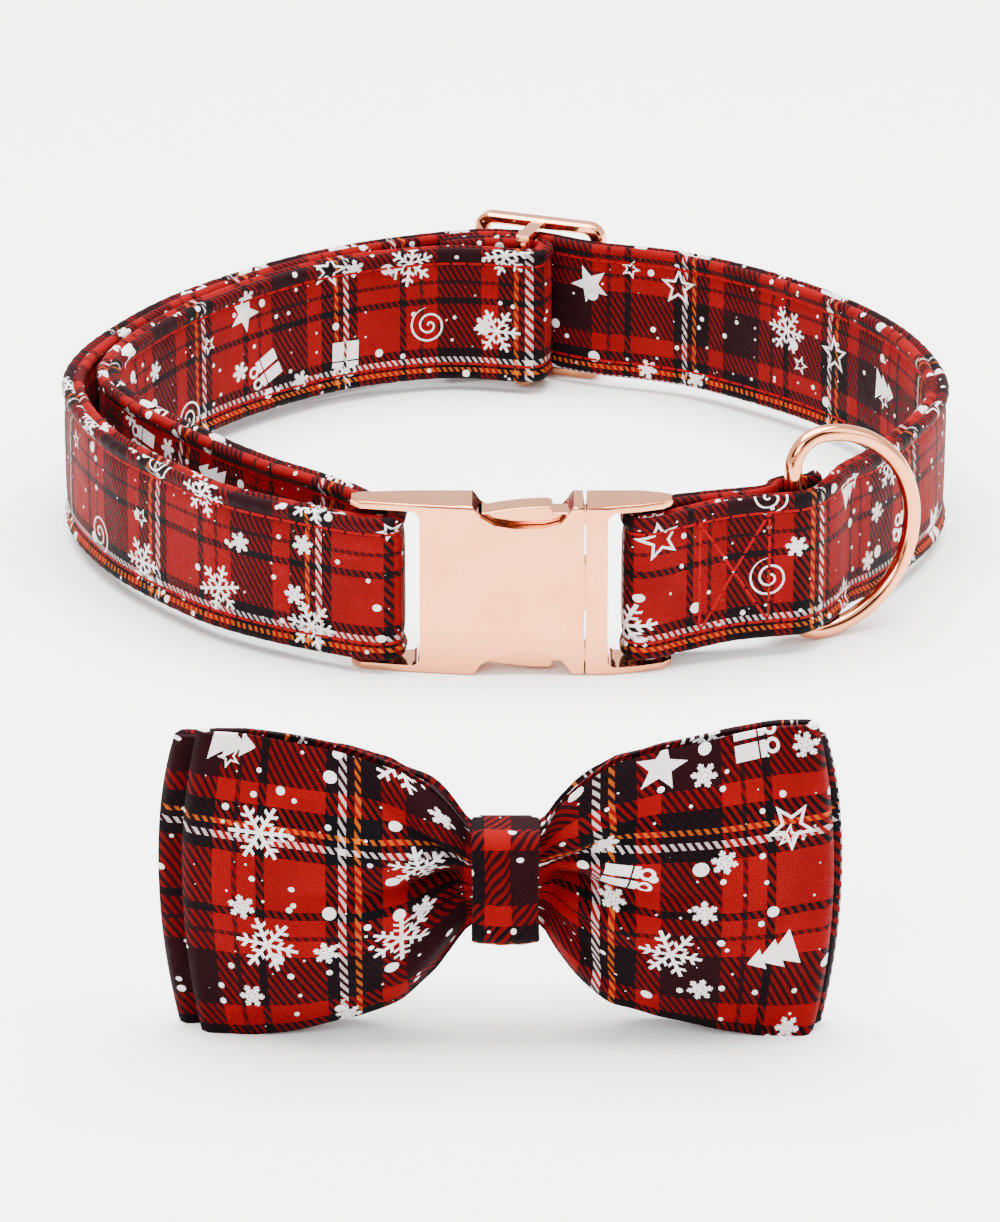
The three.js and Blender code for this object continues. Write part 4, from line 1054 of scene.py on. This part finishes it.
# %% Rose gold plating
CAST_PATCH = 9
SCUFF_PATCH = 2.5
rose_gold, tree, shader = new_material("rose_gold_plated_zinc", roughness=0.1, metallic=1.0)
where = add_node(tree, "ShaderNodeTexCoord").outputs["Object"]
cast = add_node(tree, "ShaderNodeTexNoise", where, None, 1 / (CAST_PATCH * MM), 3)
polish = add_node(tree, "ShaderNodeMapRange", cast.outputs[0], 0.3, 0.7, 0.07, 0.15)
tree.links.new(polish.outputs[0], shader.inputs["Roughness"])
tone = add_node(tree, "ShaderNodeMapRange", cast.outputs[0], 0.3, 0.7, 0.0, 1.0)
plate_colour = add_node(tree, "ShaderNodeMix", data_type="RGBA")
tree.links.new(tone.outputs[0], plate_colour.inputs["Factor"])
plate_colour.inputs["A"].default_value = linear("E08F62")
plate_colour.inputs["B"].default_value = linear("E69B70")
tree.links.new(plate_colour.outputs["Result"], shader.inputs["Base Color"])
scuff = add_node(tree, "ShaderNodeTexNoise", where, None, 1 / (SCUFF_PATCH * MM))
soft_wave = add_node(tree, "ShaderNodeBump")
soft_wave.inputs["Strength"].default_value = 0.06
soft_wave.inputs["Distance"].default_value = 0.05 * MM
tree.links.new(scuff.outputs[0], soft_wave.inputs["Height"])
tree.links.new(soft_wave.outputs[0], shader.inputs["Normal"])


# %% Copies of the nodes with rounded edges
def cast_piece(name, node, body, round_edge, sharp=32):
    made = bpy.data.objects.new(name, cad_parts[node].data.copy())
    bpy.context.scene.collection.objects.link(made)
    select_only(made)
    bpy.ops.object.mode_set(mode="EDIT")
    bpy.ops.mesh.select_all(action="SELECT")
    bpy.ops.mesh.remove_doubles(threshold=0.002 * MM)
    bpy.ops.mesh.dissolve_limited(angle_limit=math.radians(1))
    bpy.ops.object.mode_set(mode="OBJECT")
    rounding = made.modifiers.new("rounding", "BEVEL")
    rounding.width = round_edge * MM
    rounding.segments = 3
    rounding.limit_method = "ANGLE"
    rounding.angle_limit = math.radians(sharp)
    rounding.use_clamp_overlap = True
    bpy.ops.object.modifier_apply(modifier="rounding")
    bpy.ops.object.shade_smooth_by_angle(angle=math.radians(28))
    even = made.modifiers.new("even_shading", "WEIGHTED_NORMAL")
    even.keep_sharp = True
    even.weight = 100
    bpy.ops.object.modifier_apply(modifier="even_shading")
    made.data.materials.clear()
    made.data.materials.append(rose_gold)
    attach(made, body)
    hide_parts(node)
    print(name, "faces", len(made.data.polygons))
    return made


for name, node, body, round_edge in (
    ("buckle_socket_casting", "buckle_socket", "collar", 0.45),
    ("buckle_plug_casting", "buckle_plug", "collar", 0.35),
    ("upper_release_button", "release_arm_upper", "upper_release", 0.25),
    ("lower_release_button", "release_arm_lower", "lower_release", 0.25),
    ("adjuster_casting", "slider", "collar", 0.35),
):
    cast_piece(name, node, body, round_edge)

# %% [markdown]
# ## The lead ring
#
# The ring is a round wire bent to a D: a straight bar inside the strap's
# fold, two tight corners and one wide half circle. It is made as it was
# bent. A circle gives the wire's section, an extrusion the bar, and each
# corner and the wide bend is a spin about its own centre. All of it is made
# flat at the origin, then turned and moved to the bar's place.

# %% Bend the ring
RING_BAR = Vector((47.879, 11.309, 19.0))
RING_TURN = math.radians(27)
WIRE = 1.45
BEND = 17.55
CORNER = 5.5
HALF_BAR = BEND - CORNER


def spin_wire(centre, angle, steps):
    bpy.ops.mesh.spin(
        steps=steps, angle=angle, center=tuple(v * MM for v in centre), axis=(0, -1, 0), dupli=False
    )


bpy.ops.object.select_all(action="DESELECT")
bpy.ops.mesh.primitive_circle_add(
    vertices=24, radius=WIRE * MM, fill_type="NOTHING", location=(0, 0, -HALF_BAR * MM)
)
ring = bpy.context.object
ring.name = "lead_ring_wire"
bpy.ops.object.transform_apply(location=True, rotation=False, scale=False)
bpy.ops.object.mode_set(mode="EDIT")
bpy.ops.mesh.select_all(action="SELECT")
bpy.ops.mesh.extrude_region_move(TRANSFORM_OT_translate={"value": (0, 0, 2 * HALF_BAR * MM)})
spin_wire((CORNER, 0, HALF_BAR), math.pi / 2, 12)
spin_wire((CORNER, 0, 0), math.pi, 56)
spin_wire((CORNER, 0, -HALF_BAR), math.pi / 2, 12)
bpy.ops.mesh.select_all(action="SELECT")
bpy.ops.mesh.remove_doubles(threshold=0.02 * MM)
bpy.ops.mesh.normals_make_consistent(inside=False)
bpy.ops.object.mode_set(mode="OBJECT")
bpy.ops.object.shade_smooth()
ring.rotation_euler = (0, 0, RING_TURN)
ring.location = RING_BAR * MM
bpy.ops.object.transform_apply(location=True, rotation=True, scale=False)
ring.data.materials.append(rose_gold)
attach(ring, "lead_ring")
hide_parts("d_ring")
print("ring", [round(v / MM, 1) for v in ring.dimensions], len(ring.data.polygons), "faces")

# %% [markdown]
# ## Floor and light
#
# A white table under three softboxes, as for a catalogue picture: a broad one
# overhead, a smaller one at the front left and a weak one at the right. They
# are large, so shadows stay faint, and the plating shows them as clean bright
# panels. The room is pale but for one dark band in front, level with the
# camera and above it, which gives the polished metal its dark streaks.

# %% Floor
STUDIO_WHITE = "F6F3F1"
bpy.ops.object.select_all(action="DESELECT")
bpy.ops.mesh.primitive_plane_add(size=8, location=(0, 0, 0))
floor = bpy.context.object
floor.name = "table"
table_paint, tree, shader = new_material("white_table", roughness=0.7)
where = add_node(tree, "ShaderNodeTexCoord").outputs["Object"]
mottle = add_node(tree, "ShaderNodeTexNoise", where, None, 3)
tint = add_node(tree, "ShaderNodeMix", data_type="RGBA")
tree.links.new(mottle.outputs[0], tint.inputs["Factor"])
tint.inputs["A"].default_value = linear("F8F7F6")
tint.inputs["B"].default_value = linear("FBFAFA")
tree.links.new(tint.outputs["Result"], shader.inputs["Base Color"])
floor.data.materials.append(table_paint)


# %% Lights
def softbox(name, place, size, power):
    lamp = bpy.data.lights.new(name, "AREA")
    lamp.shape = "RECTANGLE"
    lamp.size, lamp.size_y = size
    lamp.energy = power
    holder = bpy.data.objects.new(name, lamp)
    bpy.context.scene.collection.objects.link(holder)
    holder.location = place
    holder.rotation_euler = Vector(place).to_track_quat("Z", "Y").to_euler()


softbox("overhead_box", (0.0, 0.15, 1.1), (1.3, 1.0), 76)
softbox("front_box", (-0.35, -1.1, 0.75), (0.8, 0.6), 16)
softbox("side_box", (1.0, -0.2, 0.6), (0.5, 0.8), 6)

world = bpy.data.worlds.new("pale_studio")
bpy.context.scene.world = world
world.use_nodes = True
tree = world.node_tree
background = tree.nodes["Background"]
direction = add_node(tree, "ShaderNodeSeparateXYZ", add_node(tree, "ShaderNodeTexCoord"))
sky = add_node(tree, "ShaderNodeValToRGB", direction.outputs[2])
sky.color_ramp.elements[0].position = 0.2
sky.color_ramp.elements[0].color = linear(STUDIO_WHITE)
sky.color_ramp.elements[1].position = 0.3
sky.color_ramp.elements[1].color = linear("2E201C")
sky.color_ramp.elements.new(0.62).color = linear("3A2A26")
sky.color_ramp.elements.new(0.72).color = linear(STUDIO_WHITE)
in_front = add_node(tree, "ShaderNodeMapRange", direction.outputs[1], -0.1, -0.4, 0.0, 1.0)
room = add_node(tree, "ShaderNodeMix", data_type="RGBA")
tree.links.new(in_front.outputs[0], room.inputs["Factor"])
room.inputs["A"].default_value = linear(STUDIO_WHITE)
tree.links.new(sky.outputs[0], room.inputs["B"])
tree.links.new(room.outputs["Result"], background.inputs["Color"])
background.inputs["Strength"].default_value = 2.0
